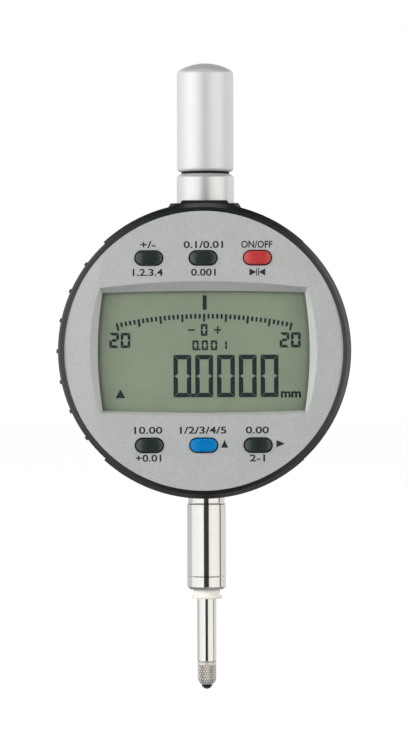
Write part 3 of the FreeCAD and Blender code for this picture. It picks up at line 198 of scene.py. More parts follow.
# Tungsten carbide, lapped: dark grey and glossy
def lappedCarbide():
    material, tree, place = startFinish("lappedCarbide")
    grain = grainOf(tree, place, 0.15)
    closeFinish(tree, (grain, "#5e6062", "#6c6e70"), (grain, 0.12, 0.18), more={"Metallic": 1.0})
    return material


# Acetal, turned from rod: ivory, waxy, with faint turning lines
def ivoryAcetal():
    scatter = (0.0008, 0.0006, 0.0004)    # metres that red, green and blue light go into it
    material, tree, place = startFinish("ivoryAcetal")
    lines = grainOf(tree, place, 0.15, stretch=(0.05, 0.05, 1.0))
    closeFinish(tree, (lines, "#f1eee4", "#f7f4ec"), (lines, 0.35, 0.5), [(lines, 0.001, 0.4)],
                {"Subsurface Weight": 0.15, "Subsurface Radius": scatter})
    return material


# Silicone keys, moulded and coated: satin, with a colour that is a little uneven
def siliconeKey(name, deep, pale, gloss=0.8):
    material, tree, place = startFinish(name)
    cloud = grainOf(tree, place, 1.2)
    pores = grainOf(tree, place, 0.2)
    closeFinish(tree, (cloud, deep, pale), (pores, 0.14, 0.22), [(pores, 0.004, 0.5)],
                {"Specular IOR Level": gloss})
    return material


# Painted shade: the panel darkens in a narrow band along its bowed sides, where the plate's recess would
# shade it. Lengths in mm from the dial's centre.
paintedShadeBorder = {"bow": 71, "start": 20.6, "end": 21.3, "share": 0.75}


# Reflective liquid crystal panel: the rear reflector gives a grey green with a fine grain, and a painted
# shade along its bowed sides
def reflectorGreen():
    material, tree, place = startFinish("reflectorGreen")
    grain = grainOf(tree, place, 0.25, detail=3.0)
    cloud = grainOf(tree, place, 18.0, low=0.35, high=0.65)
    pale = addNode(tree, "ShaderNodeMix", {0: grain, 6: "#828d78", 7: "#8a957f"}, data_type="RGBA")
    deep = addNode(tree, "ShaderNodeMix", {0: grain, 6: "#7b8774", 7: "#838f7a"}, data_type="RGBA")
    middle = addNode(tree, "ShaderNodeMix", {0: cloud, 6: deep, 7: pale}, data_type="RGBA")
    at = addNode(tree, "ShaderNodeSeparateXYZ", [place]).outputs
    up = addNode(tree, "ShaderNodeMath", [at["Z"], dialHeight], operation="SUBTRACT")
    upSquare = addNode(tree, "ShaderNodeMath", [up, up], operation="MULTIPLY")
    bow = addNode(tree, "ShaderNodeMath", [upSquare, 2 * paintedShadeBorder["bow"] * mm], operation="DIVIDE")
    side = addNode(tree, "ShaderNodeMath", [at["X"]], operation="ABSOLUTE")
    out = addNode(tree, "ShaderNodeMath", [side, bow], operation="ADD")
    # painted shade: darker towards the bowed sides, up to this share of the dark green #5f6b5a
    edge = addNode(tree, "ShaderNodeMapRange", {
        "Value": out, "From Min": paintedShadeBorder["start"] * mm, "From Max": paintedShadeBorder["end"] * mm,
        "To Max": paintedShadeBorder["share"]})
    closeFinish(tree, (edge, middle, "#5f6b5a"), (grain, 0.35, 0.45), [(grain, 0.003, 0.4)])
    return material


# Acrylic window, polished: clear. Lamps and soft light pass it straight to the panel behind
def clearAcrylic():
    material, tree, place = startFinish("clearAcrylic")
    haze = grainOf(tree, place, 3.0)
    tint = addNode(tree, "ShaderNodeMix", {0: haze, 6: "#fafcfa", 7: "#ffffff"}, data_type="RGBA")
    rough = addNode(tree, "ShaderNodeMapRange", {"Value": haze, "To Min": 0.02, "To Max": 0.04})
    clear = addNode(tree, "ShaderNodeBsdfPrincipled", {
        "Base Color": tint, "Roughness": rough, "IOR": 1.49, "Transmission Weight": 1.0,
        "Specular IOR Level": 0.35})
    through = addNode(tree, "ShaderNodeBsdfTransparent")
    ray = addNode(tree, "ShaderNodeLightPath").outputs
    soft = addNode(tree, "ShaderNodeMath", [ray["Is Shadow Ray"], ray["Is Diffuse Ray"]], operation="MAXIMUM")
    mixed = addNode(tree, "ShaderNodeMixShader", [soft, clear, through])
    addNode(tree, "ShaderNodeOutputMaterial", {"Surface": mixed})
    return material


# A plainer finish, in which tone, sheen and relief all follow one grain, its size in mm
def grainedFinish(name, deep, pale, grain, sheen, metallic=0.0, stretch=(1, 1, 1), gloss=0.5):
    material, tree, place = startFinish(name)
    texture = grainOf(tree, place, grain, stretch=stretch)
    closeFinish(tree, (texture, deep, pale), (texture, *sheen), [(texture, 0.006, 0.5)],
                {"Metallic": metallic, "Specular IOR Level": gloss})
    return material


finishes = {
    "case": mouldedNylon("mouldedNylon"),
    "ring": mouldedNylon("domedNylon", 0.3),
    "plate": sprayedSilver(),
    # aluminium, blasted and clear anodised: the oxide scatters, so it is pale, half matt, half metal
    "aluminium": turnedMetal("satinAluminium", "#eeeeee", "#f6f6f6", (0.4, 0.48), 0.25, 0.001, 0.001, 0.56),
    # aluminium, fine turned and anodised: the same pale metal with tighter bands
    "collar": turnedMetal("turnedAluminium", "#f8f8f8", "#ffffff", (0.35, 0.42), 0.25, 0.0005, 0.0005, 0.75),
    # stainless steel, centreless ground and lapped: bright mirror bands
    "steel": turnedMetal("groundSteel", "#f5f3f0", "#fcfbf9", (0.07, 0.12), 0.3, 0.0002, 0.0001),
    "carbide": lappedCarbide(),
    "acetal": ivoryAcetal(),
    "keyDark": siliconeKey("siliconeDark", "#1f2926", "#27312e", 1.0),
    "keyRed": siliconeKey("siliconeRed", "#b23937", "#bd403e"),
    "keyBlue": siliconeKey("siliconeBlue", "#0072b2", "#0079ba", 0.35),
    "reflector": reflectorGreen(),
    "window": clearAcrylic(),
    # the crystal's switched segments: a dark blue green stain behind the window, with no gloss
    "segment": grainedFinish("switchedSegment", "#202f30", "#283936", 0.3, (0.5, 0.6), gloss=0.0),
    # pad-printing ink: flat dark grey, its shade slightly uneven
    "ink": grainedFinish("padInk", "#25282b", "#303437", 0.2, (0.55, 0.7), gloss=0.2),
    # zinc-plated screws: bluish, slightly cloudy
    "screw": grainedFinish("zincPlate", "#a9adb1", "#c6c9cb", 0.4, (0.25, 0.38), 1.0),
    # nickel-plated cell can: bright, faintly brushed
    "cell": grainedFinish("nickelCan", "#c9c7c1", "#dedcd6", 0.2, (0.18, 0.3), 1.0, (1, 1, 0.1)),
    # sintered bronze bushes: brown gold, porous
    "bronze": grainedFinish("sinteredBronze", "#8f6a35", "#b08a4c", 0.25, (0.35, 0.5), 1.0),
    # nitrile seals: dull black with a bloom
    "seal": grainedFinish("nitrileRubber", "#161717", "#202121", 0.5, (0.65, 0.8)),
    # silicone mats: grey, matt
    "mat": grainedFinish("siliconeMat", "#6a6d6c", "#767a78", 0.6, (0.55, 0.7)),
    # glass-epoxy boards: green resist, its shade uneven over the cloth below
    "board": grainedFinish("glassEpoxy", "#16482e", "#1f5f3c", 0.5, (0.3, 0.45)),
    # measuring scale, a laminate: dull green to copper, in uneven stripes of about 0.5 mm across it
    "scale": grainedFinish("scaleLaminate", "#4a4f38", "#a8905a", 0.5, (0.3, 0.4), 0.0, (0.02, 0.02, 1)),
    # epoxy chip packages: black, finely matt
    "chip": grainedFinish("chipEpoxy", "#1a1a1c", "#242426", 0.2, (0.5, 0.65)),
    # spring wire: drawn steel, oiled
    "spring": grainedFinish("springWire", "#8d8f92", "#aeb0b3", 0.3, (0.2, 0.32), 1.0),
    # carrier: machined aluminium
    "carrier": grainedFinish("milledAluminium", "#bfc0c1", "#d5d6d6", 0.3, (0.28, 0.4), 1.0, (1, 0.1, 1)),
}
print("finishes made:", len(finishes))

nodeFinish = {
    "case": ["rear_housing", "back_cover", "battery_lid", "display_back"],
    "ring": ["bezel_ring"],
    "plate": ["front_plate"],
    "aluminium": ["protective_cap"],
    "collar": ["upper_collar"],
    "steel": ["stem", "stem_end_bush", "spindle", "contact_point", "guide_pin", "stop_pin"],
    "carbide": ["contact_ball"],
    "acetal": ["wiper_bush", "friction_ring"],
    "keyDark": ["key_upper_left", "key_upper_middle", "key_lower_left", "key_lower_right"],
    "keyRed": ["key_upper_right"],
    "keyBlue": ["key_lower_middle"],
    "reflector": ["lcd_panel"],
    "screw": ["back_cover_screws", "retaining_ring_screws", "sensor_board_screws", "display_screws",
              "carrier_screw"],
    "cell": ["battery_cell", "battery_contact"],
    "bronze": ["upper_guide_bush"],
    "seal": ["cap_seal", "lid_seal"],
    "mat": ["key_mat_upper", "key_mat_lower", "lcd_connectors"],
    "board": ["main_board", "sensor_board"],
    "scale": ["measuring_scale"],
    "chip": ["board_components", "lcd_frame"],
    "spring": ["return_spring"],
    "carrier": ["scale_carrier", "guide_rail", "retaining_ring"],
}


def dressNodes():
    for finish, names in nodeFinish.items():
        for name in names:
            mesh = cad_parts[name].data
            mesh.materials.clear()
            mesh.materials.append(finishes[finish])
    print("nodes dressed:", sum(len(names) for names in nodeFinish.values()))


dressNodes()

# Small bevels on sharp edges of carried-over pieces
bevels = {
    "widths": {"stem": 0.12, "stem_end_bush": 0.12, "spindle": 0.05},    # mm
    "segments": 2,
    "sharpAngle": 50,     # degrees, an edge that turns more is bevelled
    "splitAngle": 20,     # degrees, an edge that turns more is shaded sharp
}


def bevelNodes():
    for name, width in bevels["widths"].items():
        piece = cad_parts[name]
        weld = piece.modifiers.new("weld", "WELD")
        weld.merge_threshold = weldGap
        bevel = piece.modifiers.new("bevel", "BEVEL")
        bevel.width = width * mm
        bevel.segments = bevels["segments"]
        bevel.limit_method = "ANGLE"
        bevel.angle_limit = math.radians(bevels["sharpAngle"])
        bevel.use_clamp_overlap = False
        split = piece.modifiers.new("split", "EDGE_SPLIT")
        split.split_angle = math.radians(bevels["splitAngle"])
    print("pieces bevelled:", len(bevels["widths"]))


bevelNodes()


# A new piece from a bmesh, riding on a body of the frame
def addPiece(name, bm, finish, body):
    mesh = bpy.data.meshes.new(name)
    bm.to_mesh(mesh)
    bm.free()
    return placePiece(name, mesh, finish, body)


def placePiece(name, mesh, finish, body):
    if finish is not None:
        mesh.materials.clear()
        mesh.materials.append(finish)
    piece = bpy.data.objects.new(name, mesh)
    scene.collection.objects.link(piece)
    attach(piece, body)
    return piece


# Makes flat faces into tiles, thickness in mm towards -Y
def raiseFaces(bm, faces, thickness, keepBack):
    raised = bmesh.ops.extrude_face_region(bm, geom=faces, use_keep_orig=keepBack)["geom"]
    moved = [part for part in raised if isinstance(part, bmesh.types.BMVert)]
    bmesh.ops.translate(bm, verts=moved, vec=(0, -thickness * mm, 0))


# Flat shapes given by their corners in mm from the dial's centre, as thin tiles facing -Y
def tilesOf(outlines, back, thickness):
    bm = bmesh.new()
    for outline in outlines:
        rear = [bm.verts.new((x * mm, back, dialHeight + z * mm)) for x, z in outline]
        raiseFaces(bm, [bm.faces.new(rear)], thickness, False)
    bmesh.ops.recalc_face_normals(bm, faces=bm.faces)
    return bm


lettering = {"curveSteps": 3, "weldGap": 1e-5}    # the gap is in the letters' own units


def flatWords(words, bold):
    curve = bpy.data.curves.new("words", "FONT")
    curve.body = words
    curve.resolution_u = lettering["curveSteps"]
    curve.offset = bold
    maker = bpy.data.objects.new("words", curve)
    scene.collection.objects.link(maker)
    bpy.context.view_layer.update()
    flat = bpy.data.meshes.new_from_object(maker.evaluated_get(bpy.context.evaluated_depsgraph_get()))
    bpy.data.objects.remove(maker)
    bpy.data.curves.remove(curve)
    return flat


def spanOf(mesh, axis):
    places = [vertex.co[axis] for vertex in mesh.vertices]
    return min(places), max(places)


# Lettering fitted to a width in mm about x; its height is that of the sample letter, centred on z
def addWords(bm, words, x, z, width, height, back, thickness, bold, sample="0"):
    flat, letter = flatWords(words, bold), flatWords(sample, bold)
    left, right = spanOf(flat, 0)
    low, high = spanOf(letter, 1)
    made = bmesh.new()
    made.from_mesh(flat)
    bmesh.ops.remove_doubles(made, verts=made.verts, dist=lettering["weldGap"])
    for vertex in made.verts:
        along = (vertex.co.x - (left + right) / 2) * width / (right - left)
        up = (vertex.co.y - (low + high) / 2) * height / (high - low)
        vertex.co = Vector(((x + along) * mm, back, dialHeight + (z + up) * mm))
    raiseFaces(made, list(made.faces), thickness, True)
    bmesh.ops.recalc_face_normals(made, faces=made.faces)
    joined = bpy.data.meshes.new("joined")
    made.to_mesh(joined)
    made.free()
    bm.from_mesh(joined)
    for spare in (flat, letter, joined):
        bpy.data.meshes.remove(spare)


# The camera stands where the photograph's did
camera = {
    "distance": 0.8,
    "turn": 1.7,          # degrees round the object, towards its right
    "roll": 0.19,         # degrees
    "lens": 185.1,        # mm
    "sensor": 36,         # mm
    "pixels": 753,        # height of the picture
    "shiftX": -1.9,       # pixels
    "shiftY": -25.7,
}


def addCamera():
    lens = bpy.data.cameras.new("view")
    lens.lens = camera["lens"]
    lens.sensor_width = camera["sensor"]
    lens.shift_x = camera["shiftX"] / camera["pixels"]
    lens.shift_y = camera["shiftY"] / camera["pixels"]
    view = bpy.data.objects.new("view", lens)
    turn = math.radians(camera["turn"])
    view.location = (math.sin(turn) * camera["distance"], -math.cos(turn) * camera["distance"], dialHeight)
    view.rotation_euler = (math.pi / 2, math.radians(camera["roll"]), turn)
    scene.collection.objects.link(view)
    scene.camera = view


addCamera()

studio = {
    "skyLevel": 0.46,     # soft light from all round
    "boxes": [            # name, watts, side, azimuth and height in degrees, distance
        ("leftBox", 3.1, 0.4, -57, 18, 0.6),
        ("rightBox", 3.4, 0.4, 62, 18, 0.9),
    ],
    "floorReach": 3.0,
    "floorGlow": 2.08,
    "floorShare": 0.4,
    # What metal mirrors, by degrees round the object from the dial, to the right positive:
    # two white walls with a dark gap between them for the camera, a dark seam at the right
    "walls": [
        (-180, "#c8c7c9"), (-99, "#c8c7c9"), (-93, "#f3f2f0"), (-20, "#ffffff"), (-15.5, "#f8f6f4"),
        (-13.8, "#383735"), (15.0, "#383735"), (17.0, "#f0ede8"), (45, "#faf7f3"), (84, "#f0ede7"),
        (89, "#4a4845"), (94, "#4a4845"), (98, "#dcdad8"), (180, "#d8d6d6"),
    ],
    # How bright those walls are by height, -1 straight down to 1 straight up: a dark gap under the
    # ceiling and one over the floor
    "heights": [
        (-1.0, "#b0b0b0"), (-0.86, "#8a8a8a"), (-0.62, "#484848"), (-0.56, "#484848"), (-0.42, "#ffffff"),
        (0.46, "#ffffff"), (0.56, "#262626"), (0.86, "#101010"), (0.93, "#3c3c3c"), (1.0, "#8c8c8c"),
    ],
    # Low behind the object the walls are evenly lit instead, for edges that face down
    "lowBound": -0.3,     # how low that is, by the same height
    "lowLevel": 0.4,
}


# Shades by a value that runs from low to high, through stops given as (value, colour)
def shadesAlong(tree, value, stops, low, high):
    share = addNode(tree, "ShaderNodeMapRange", {"Value": value, "From Min": low, "From Max": high})
    ramp = addNode(tree, "ShaderNodeValToRGB", [share])
    made = ramp.color_ramp.elements
    made.remove(made[1])
    for index, (place, colour) in enumerate(stops):
        at = (place - low) / (high - low)
        stop = made[0] if index == 0 else made.new(at)
        stop.position = at
        stop.color = linearOf(colour)
    return ramp


def addWorld():
    world = bpy.data.worlds.new("studio")
    scene.world = world
    world.use_nodes = True
    tree = world.node_tree
    tree.nodes.clear()
    way = addNode(tree, "ShaderNodeTexCoord").outputs["Generated"]
    at = addNode(tree, "ShaderNodeSeparateXYZ", [way]).outputs
    forward = addNode(tree, "ShaderNodeMath", [at["Y"], -1.0], operation="MULTIPLY")
    angle = addNode(tree, "ShaderNodeMath", [at["X"], forward], operation="ARCTAN2")
    degrees = addNode(tree, "ShaderNodeMath", [angle], operation="DEGREES")
    around = shadesAlong(tree, degrees, studio["walls"], -180, 180)
    upright = shadesAlong(tree, at["Z"], studio["heights"], -1, 1)
    behind = addNode(tree, "ShaderNodeMath", [at["Y"], 0.0], operation="GREATER_THAN")
    below = addNode(tree, "ShaderNodeMath", [at["Z"], studio["lowBound"]], operation="LESS_THAN")
    lowBehind = addNode(tree, "ShaderNodeMath", [behind, below], operation="MULTIPLY")
    low, sky = studio["lowLevel"], studio["skyLevel"]
    level = addNode(tree, "ShaderNodeMix", {0: lowBehind, 6: upright, 7: (low, low, low, 1)},
                    data_type="RGBA")
    room = addNode(tree, "ShaderNodeMix", {0: 1.0, 6: around, 7: level}, data_type="RGBA",
                   blend_type="MULTIPLY")
    # white behind the object, also through its window, while the window mirrors the room in front
    ray = addNode(tree, "ShaderNodeLightPath").outputs
    through = addNode(tree, "ShaderNodeMath", [ray["Is Transmission Ray"], behind], operation="MULTIPLY")
    inFront = addNode(tree, "ShaderNodeMath", [ray["Is Transmission Ray"], through], operation="SUBTRACT")
    shiny = addNode(tree, "ShaderNodeMath", [ray["Is Glossy Ray"], inFront], operation="MAXIMUM")
    mirrored = addNode(tree, "ShaderNodeMix", {0: shiny, 6: (sky, sky, sky, 1), 7: room},
                       data_type="RGBA")
    seen = addNode(tree, "ShaderNodeMath", [ray["Is Camera Ray"], through], operation="MAXIMUM")
    colour = addNode(tree, "ShaderNodeMix", {0: seen, 6: mirrored, 7: "#ffffff"}, data_type="RGBA")
    glow = addNode(tree, "ShaderNodeBackground", {"Color": colour, "Strength": 1.0})
    addNode(tree, "ShaderNodeOutputWorld", {"Surface": glow})


# Soft boxes that light matt surfaces. Metal doesn't mirror them.
def addBoxes():
    for name, power, side, azimuth, rise, distance in studio["boxes"]:
        lamp = bpy.data.lights.new(name, "AREA")
        lamp.shape = "SQUARE"
        lamp.size = side
        lamp.energy = power
        box = bpy.data.objects.new(name, lamp)
        turn, lift = math.radians(azimuth), math.radians(rise)
        away = Vector((math.sin(turn) * math.cos(lift), -math.cos(turn) * math.cos(lift), math.sin(lift)))
        box.location = Vector((0, 0, dialHeight)) + away * distance
        box.rotation_euler = (-away).to_track_quat("-Z", "Y").to_euler()
        box.visible_glossy = False
        scene.collection.objects.link(box)


# Matt white paper: it glows a little to the camera, so that it reads white, and keeps the shadow
def whitePaper():
    material, tree, place = startFinish("whitePaper")
    fibre = grainOf(tree, place, 2.0)
    colour = addNode(tree, "ShaderNodeMix", {0: fibre, 6: "#c4c4c4", 7: "#cacaca"}, data_type="RGBA")
    paper = addNode(tree, "ShaderNodeBsdfDiffuse", {"Color": colour})
    glow = addNode(tree, "ShaderNodeEmission", {"Color": "#ffffff", "Strength": studio["floorGlow"]})
    ray = addNode(tree, "ShaderNodeLightPath").outputs
    seen = addNode(tree, "ShaderNodeMath", [ray["Is Camera Ray"], ray["Is Transmission Ray"]],
                   operation="MAXIMUM")
    share = addNode(tree, "ShaderNodeMath", [seen, studio["floorShare"]], operation="MULTIPLY")
    mixed = addNode(tree, "ShaderNodeMixShader", [share, paper, glow])
    addNode(tree, "ShaderNodeOutputMaterial", {"Surface": mixed})
    return material


def addFloor():
    reach = studio["floorReach"]
    bm = bmesh.new()
    low = cadBox[0][2]
    corners = [bm.verts.new((x * reach, y * reach, low)) for x, y in ((-1, -1), (1, -1), (1, 1), (-1, 1))]
    bm.faces.new(corners)
    mesh = bpy.data.meshes.new("floor")
    bm.to_mesh(mesh)
    bm.free()
    mesh.materials.append(whitePaper())
    floor = bpy.data.objects.new("floor", mesh)
    floor.visible_glossy = False    # polished metal mirrors the walls alone
    scene.collection.objects.link(floor)


addWorld()
addBoxes()
addFloor()
print("camera and studio set")

# Window pane, a little ahead of the panel so that the segments lie between them. Lengths in mm.
pane = {"behind": 0.15, "edge": 0.15, "edgeSegments": 2, "inset": 0.02}


def addPane():
    low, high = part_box("lcd_window")
    inset = pane["inset"] * mm
    bm = bmesh.new()
    bmesh.ops.create_cube(bm, size=1.0)
    size = Vector((high.x - low.x - 2 * inset, high.y - low.y - pane["behind"] * mm - inset,
                   high.z - low.z - 2 * inset))
    middle = Vector(((low.x + high.x) / 2, low.y + inset + size.y / 2, (low.z + high.z) / 2))
    for vertex in bm.verts:
        vertex.co = Vector([vertex.co[axis] * size[axis] + middle[axis] for axis in range(3)])
    bmesh.ops.bevel(bm, geom=list(bm.edges), offset=pane["edge"] * mm, segments=pane["edgeSegments"],
                    affect="EDGES")
    piece = addPiece("windowPane", bm, finishes["window"], "display")
    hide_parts("lcd_window")


addPane()
print("window pane set")

# What the crystal shows. Lengths in mm from the dial's centre; a box is left, low, right, high.
crystal = {
    "back": panelFront, "thickness": 0.03,
    "pointer": (-0.18, 8.35, 0.62, 11.25),
    "bigDigits": {"count": 5, "left": -6.16, "low": -9.42, "width": 3.62, "height": 8.6, "pitch": 4.42,
                  "stroke": 0.9, "gap": 0.05},
    "dotGap": 0.03,       # from the first big digit to its dot
    "dotShare": 0.85,     # the dot's side as a share of the stroke
    "smallDigits": [("0", -2.3), ("0", -0.4), ("0", 1.45), ("1", 3.45)],
    "smallSize": {"low": 0.12, "width": 1.27, "height": 2.0, "stroke": 0.4, "gap": 0.02},
    "smallDot": (-0.98, 0.15, -0.68, 0.45),
    "endDigits": {"left": [-19.15, 15.4], "low": 0.62, "width": 1.95, "height": 3.08, "pitch": 2.3,
                  "stroke": 0.55, "gap": 0.05},
    "zero": {"left": -0.57, "low": 3.03, "width": 1.34, "height": 2.4, "stroke": 0.44, "gap": 0.02},
    "minus": (-3.15, 4.05, -1.85, 4.37),
    "plus": [(2.1, 4.05, 3.6, 4.37), (2.69, 4.37, 3.01, 4.96), (2.69, 3.46, 3.01, 4.05)],
    "arrowhead": [(-17.95, -9.55), (-15.95, -9.55), (-16.95, -7.75)],
    "unit": {"x": 17.65, "z": -8.88, "width": 4.1, "height": 1.28, "bold": 0.035, "sample": "m"},
}

# A figure's bars, and how far their mitres reach, as shares of the stroke
barsOf = {"0": "abcdef", "1": "bc", "2": "abged"}
mitre = {"inner": 0.45, "notch": 0.4, "tip": 0.6}


# The seven bars of a figure, with mitred ends
def figureOutlines(figure, left, low, width, height, stroke, gap):
    high, right, middle = low + height, left + width, low + height / 2
    inner, notch, tip = stroke * mitre["inner"], stroke * mitre["notch"], stroke * mitre["tip"]
    bars = {
        "a": [(left + gap, high), (left + stroke + gap, high - stroke), (right - stroke - gap, high - stroke),
              (right - gap, high)],
        "d": [(left + gap, low), (right - gap, low), (right - stroke - gap, low + stroke),
              (left + stroke + gap, low + stroke)],
        "f": [(left, high - gap), (left, middle + gap), (left + notch, middle + gap),
              (left + stroke, middle + gap + inner), (left + stroke, high - stroke - gap)],
        "e": [(left, low + gap), (left + stroke, low + stroke + gap), (left + stroke, middle - gap - inner),
              (left + notch, middle - gap), (left, middle - gap)],
        "b": [(right, high - gap), (right - stroke, high - stroke - gap),
              (right - stroke, middle + gap + inner), (right - notch, middle + gap), (right, middle + gap)],
        "c": [(right, low + gap), (right, middle - gap), (right - notch, middle - gap),
              (right - stroke, middle - gap - inner), (right - stroke, low + stroke + gap)],
        "g": [(left + tip + gap, middle), (left + stroke + gap, middle - stroke / 2),
              (right - stroke - gap, middle - stroke / 2), (right - tip - gap, middle),
              (right - stroke - gap, middle + stroke / 2), (left + stroke + gap, middle + stroke / 2)],
    }
    return [bars[bar] for bar in barsOf[figure]]


def boxOutline(left, low, right, high):
    return [(left, low), (right, low), (right, high), (left, high)]


def addCrystal():
    outlines = [boxOutline(*crystal["pointer"])]
    big = dict(crystal["bigDigits"])
    count, left, pitch = big.pop("count"), big.pop("left"), big.pop("pitch")
    for index in range(count):
        outlines += figureOutlines("0", left + index * pitch, **big)
    dot, side = left + big["width"] + crystal["dotGap"], big["stroke"] * crystal["dotShare"]
    outlines.append(boxOutline(dot, big["low"], dot + side, big["low"] + side))
    for figure, at in crystal["smallDigits"]:
        outlines += figureOutlines(figure, at, **crystal["smallSize"])
    outlines.append(boxOutline(*crystal["smallDot"]))
    ends = dict(crystal["endDigits"])
    starts, pitch = ends.pop("left"), ends.pop("pitch")
    for start in starts:
        outlines += figureOutlines("2", start, **ends) + figureOutlines("0", start + pitch, **ends)
    outlines += figureOutlines("0", **crystal["zero"])
    outlines += [boxOutline(*box) for box in [crystal["minus"], *crystal["plus"]]]
    outlines.append(crystal["arrowhead"])
    bm = tilesOf(outlines, crystal["back"], crystal["thickness"])
    addWords(bm, "mm", back=crystal["back"], thickness=crystal["thickness"], **crystal["unit"])
    addPiece("crystalSegments", bm, finishes["segment"], "display")


addCrystal()


# A new tree with its inputs as {name: kind of socket}, and what those inputs give
def newTree(name, wanted):
    tree = bpy.data.node_groups.new(name, "GeometryNodeTree")
    tree.interface.new_socket("Geometry", in_out="OUTPUT", socket_type="NodeSocketGeometry")
    for label, kind in wanted.items():
        tree.interface.new_socket(label, in_out="INPUT", socket_type="NodeSocket" + kind)
    return tree, tree.nodes.new("NodeGroupInput").outputs


def closeTree(tree, geometry, finish):
    real = addNode(tree, "GeometryNodeRealizeInstances", [geometry])
    dressed = addNode(tree, "GeometryNodeSetMaterial", {"Geometry": real, "Material": finish})
    addNode(tree, "NodeGroupOutput", [dressed])


# A modifier that runs the tree, its inputs set by their sockets' identifiers, made into a plain mesh
def meshFromTree(tree, values):
    host = bpy.data.objects.new("host", bpy.data.meshes.new("host"))
    scene.collection.objects.link(host)
    modifier = host.modifiers.new("build", "NODES")
    modifier.node_group = tree
    for item in tree.interface.items_tree:
        if item.item_type == "SOCKET" and item.in_out == "INPUT" and item.name in values:
            modifier[item.identifier] = values[item.name]
    host.update_tag()
    bpy.context.view_layer.update()
    mesh = bpy.data.meshes.new_from_object(host.evaluated_get(bpy.context.evaluated_depsgraph_get()))
    bpy.data.objects.remove(host)
    bm = bmesh.new()
    bm.from_mesh(mesh)
    bmesh.ops.recalc_face_normals(bm, faces=bm.faces)
    bm.to_mesh(mesh)
    bm.free()
    return mesh


# The two coordinates of a spot on a circle, first the one by the angle's cosine
def roundSpot(tree, angle, radius):
    made = []
    for operation in ("COSINE", "SINE"):
        share = addNode(tree, "ShaderNodeMath", [angle], operation=operation)
        made.append(addNode(tree, "ShaderNodeMath", [share, radius], operation="MULTIPLY"))
    return made


# Graduations on the crystal: bars on an arc, every fifth one longer. Lengths in mm.
graduations = {"count": 41, "across": 0.1, "radius": 85.0, "top": 7.5, "pitchDegrees": 0.602,
               "width": 0.43, "short": 0.95, "long": 1.55, "every": 5}


def graduationTree():
    tree, given = newTree("graduationArc", {
        "Count": "Int", "Radius": "Float", "Pitch": "Float", "Width": "Float", "Short": "Float",
        "Long": "Float", "Every": "Int", "Thickness": "Float", "Centre": "Vector", "Finish": "Material"})
    row = addNode(tree, "GeometryNodeMeshLine", {"Count": given["Count"], "Offset": (0, 0, 0)},
                  mode="OFFSET")
    index = addNode(tree, "GeometryNodeInputIndex")
    last = addNode(tree, "ShaderNodeMath", [given["Count"], 1.0], operation="SUBTRACT")
    half = addNode(tree, "ShaderNodeMath", [last, 0.5], operation="MULTIPLY")
    fromMiddle = addNode(tree, "ShaderNodeMath", [index, half], operation="SUBTRACT")
    turn = addNode(tree, "ShaderNodeMath", [fromMiddle, given["Pitch"]], operation="MULTIPLY")
    over = addNode(tree, "ShaderNodeMath", [index, given["Every"]], operation="MODULO")
    isLong = addNode(tree, "ShaderNodeMath", [over, 0.5], operation="LESS_THAN")
    length = addNode(tree, "ShaderNodeMix", {0: isLong, 2: given["Short"], 3: given["Long"]},
                     data_type="FLOAT")
    # each bar hangs down from the arc, so its middle is half its length inside it
    halfLength = addNode(tree, "ShaderNodeMath", [length, 0.5], operation="MULTIPLY")
    reach = addNode(tree, "ShaderNodeMath", [given["Radius"], halfLength], operation="SUBTRACT")
    up, along = roundSpot(tree, turn, reach)
    spot = addNode(tree, "ShaderNodeCombineXYZ", {"X": along, "Z": up})
    place = addNode(tree, "ShaderNodeVectorMath", [spot, given["Centre"]], operation="ADD")
    moved = addNode(tree, "GeometryNodeSetPosition", {"Geometry": row, "Position": place})
    bar = addNode(tree, "GeometryNodeMeshCube", {"Size": (1, 1, 1)})
    lean = addNode(tree, "ShaderNodeCombineXYZ", {"Y": turn})
    size = addNode(tree, "ShaderNodeCombineXYZ", {"X": given["Width"], "Y": given["Thickness"], "Z": length})
    bars = addNode(tree, "GeometryNodeInstanceOnPoints",
                   {"Points": moved, "Instance": bar, "Rotation": lean, "Scale": size})
    closeTree(tree, bars, given["Finish"])
    return tree


def addGraduations():
    arc = graduations
    mesh = meshFromTree(graduationTree(), {
        "Count": arc["count"], "Radius": arc["radius"] * mm,
        "Pitch": math.radians(arc["pitchDegrees"]), "Width": arc["width"] * mm,
        "Short": arc["short"] * mm, "Long": arc["long"] * mm, "Every": arc["every"],
        "Thickness": crystal["thickness"] * mm,
        "Centre": (arc["across"] * mm, panelFront - crystal["thickness"] / 2 * mm,
                   dialHeight + (arc["top"] - arc["radius"]) * mm),
        "Finish": finishes["segment"],
    })
    placePiece("crystalGraduations", mesh, None, "display")


addGraduations()
print("crystal drawn")

# Marks printed beside the keys: plain figures and signs, mm from the dial's centre
marks = {
    "height": 1.45, "thickness": 0.015, "bold": 0.018,
    "words": [            # figures, x, z, width
        ("+/-", -11.2, 21.5, 3.1), ("0.1/0.01", 0.05, 21.5, 8.0), ("ON/OFF", 10.85, 21.5, 6.3),
        ("1.2.3.4", -11.2, 15.9, 6.1), ("0.001", 0.05, 15.9, 5.0),
        ("10.00", -11.2, -16.05, 5.7), ("1/2/3/4/5", -0.1, -16.05, 9.4), ("0.00", 10.85, -16.05, 4.7),
        ("+0.01", -11.2, -21.7, 5.2), ("2-1", 10.85, -21.7, 3.1),
    ],
    "signs": [            # the corners of each
        [(9.35, 15.15), (10.75, 15.9), (9.35, 16.65)], boxOutline(10.72, 15.15, 10.9, 16.65),
        boxOutline(11.15, 15.15, 11.33, 16.65), [(12.55, 15.15), (12.55, 16.65), (11.3, 15.9)],
        [(3.5, -19.6), (4.94, -19.6), (4.22, -17.98)],
        [(14.7, -19.55), (16.45, -18.82), (14.7, -18.1)],
    ],
}


def addMarks():
    bm = tilesOf(marks["signs"], plateFront, marks["thickness"])
    for words, x, z, width in marks["words"]:
        addWords(bm, words, x, z, width, marks["height"], plateFront, marks["thickness"], marks["bold"])
    addPiece("printedMarks", bm, finishes["ink"], "display")


addMarks()
print("marks printed")

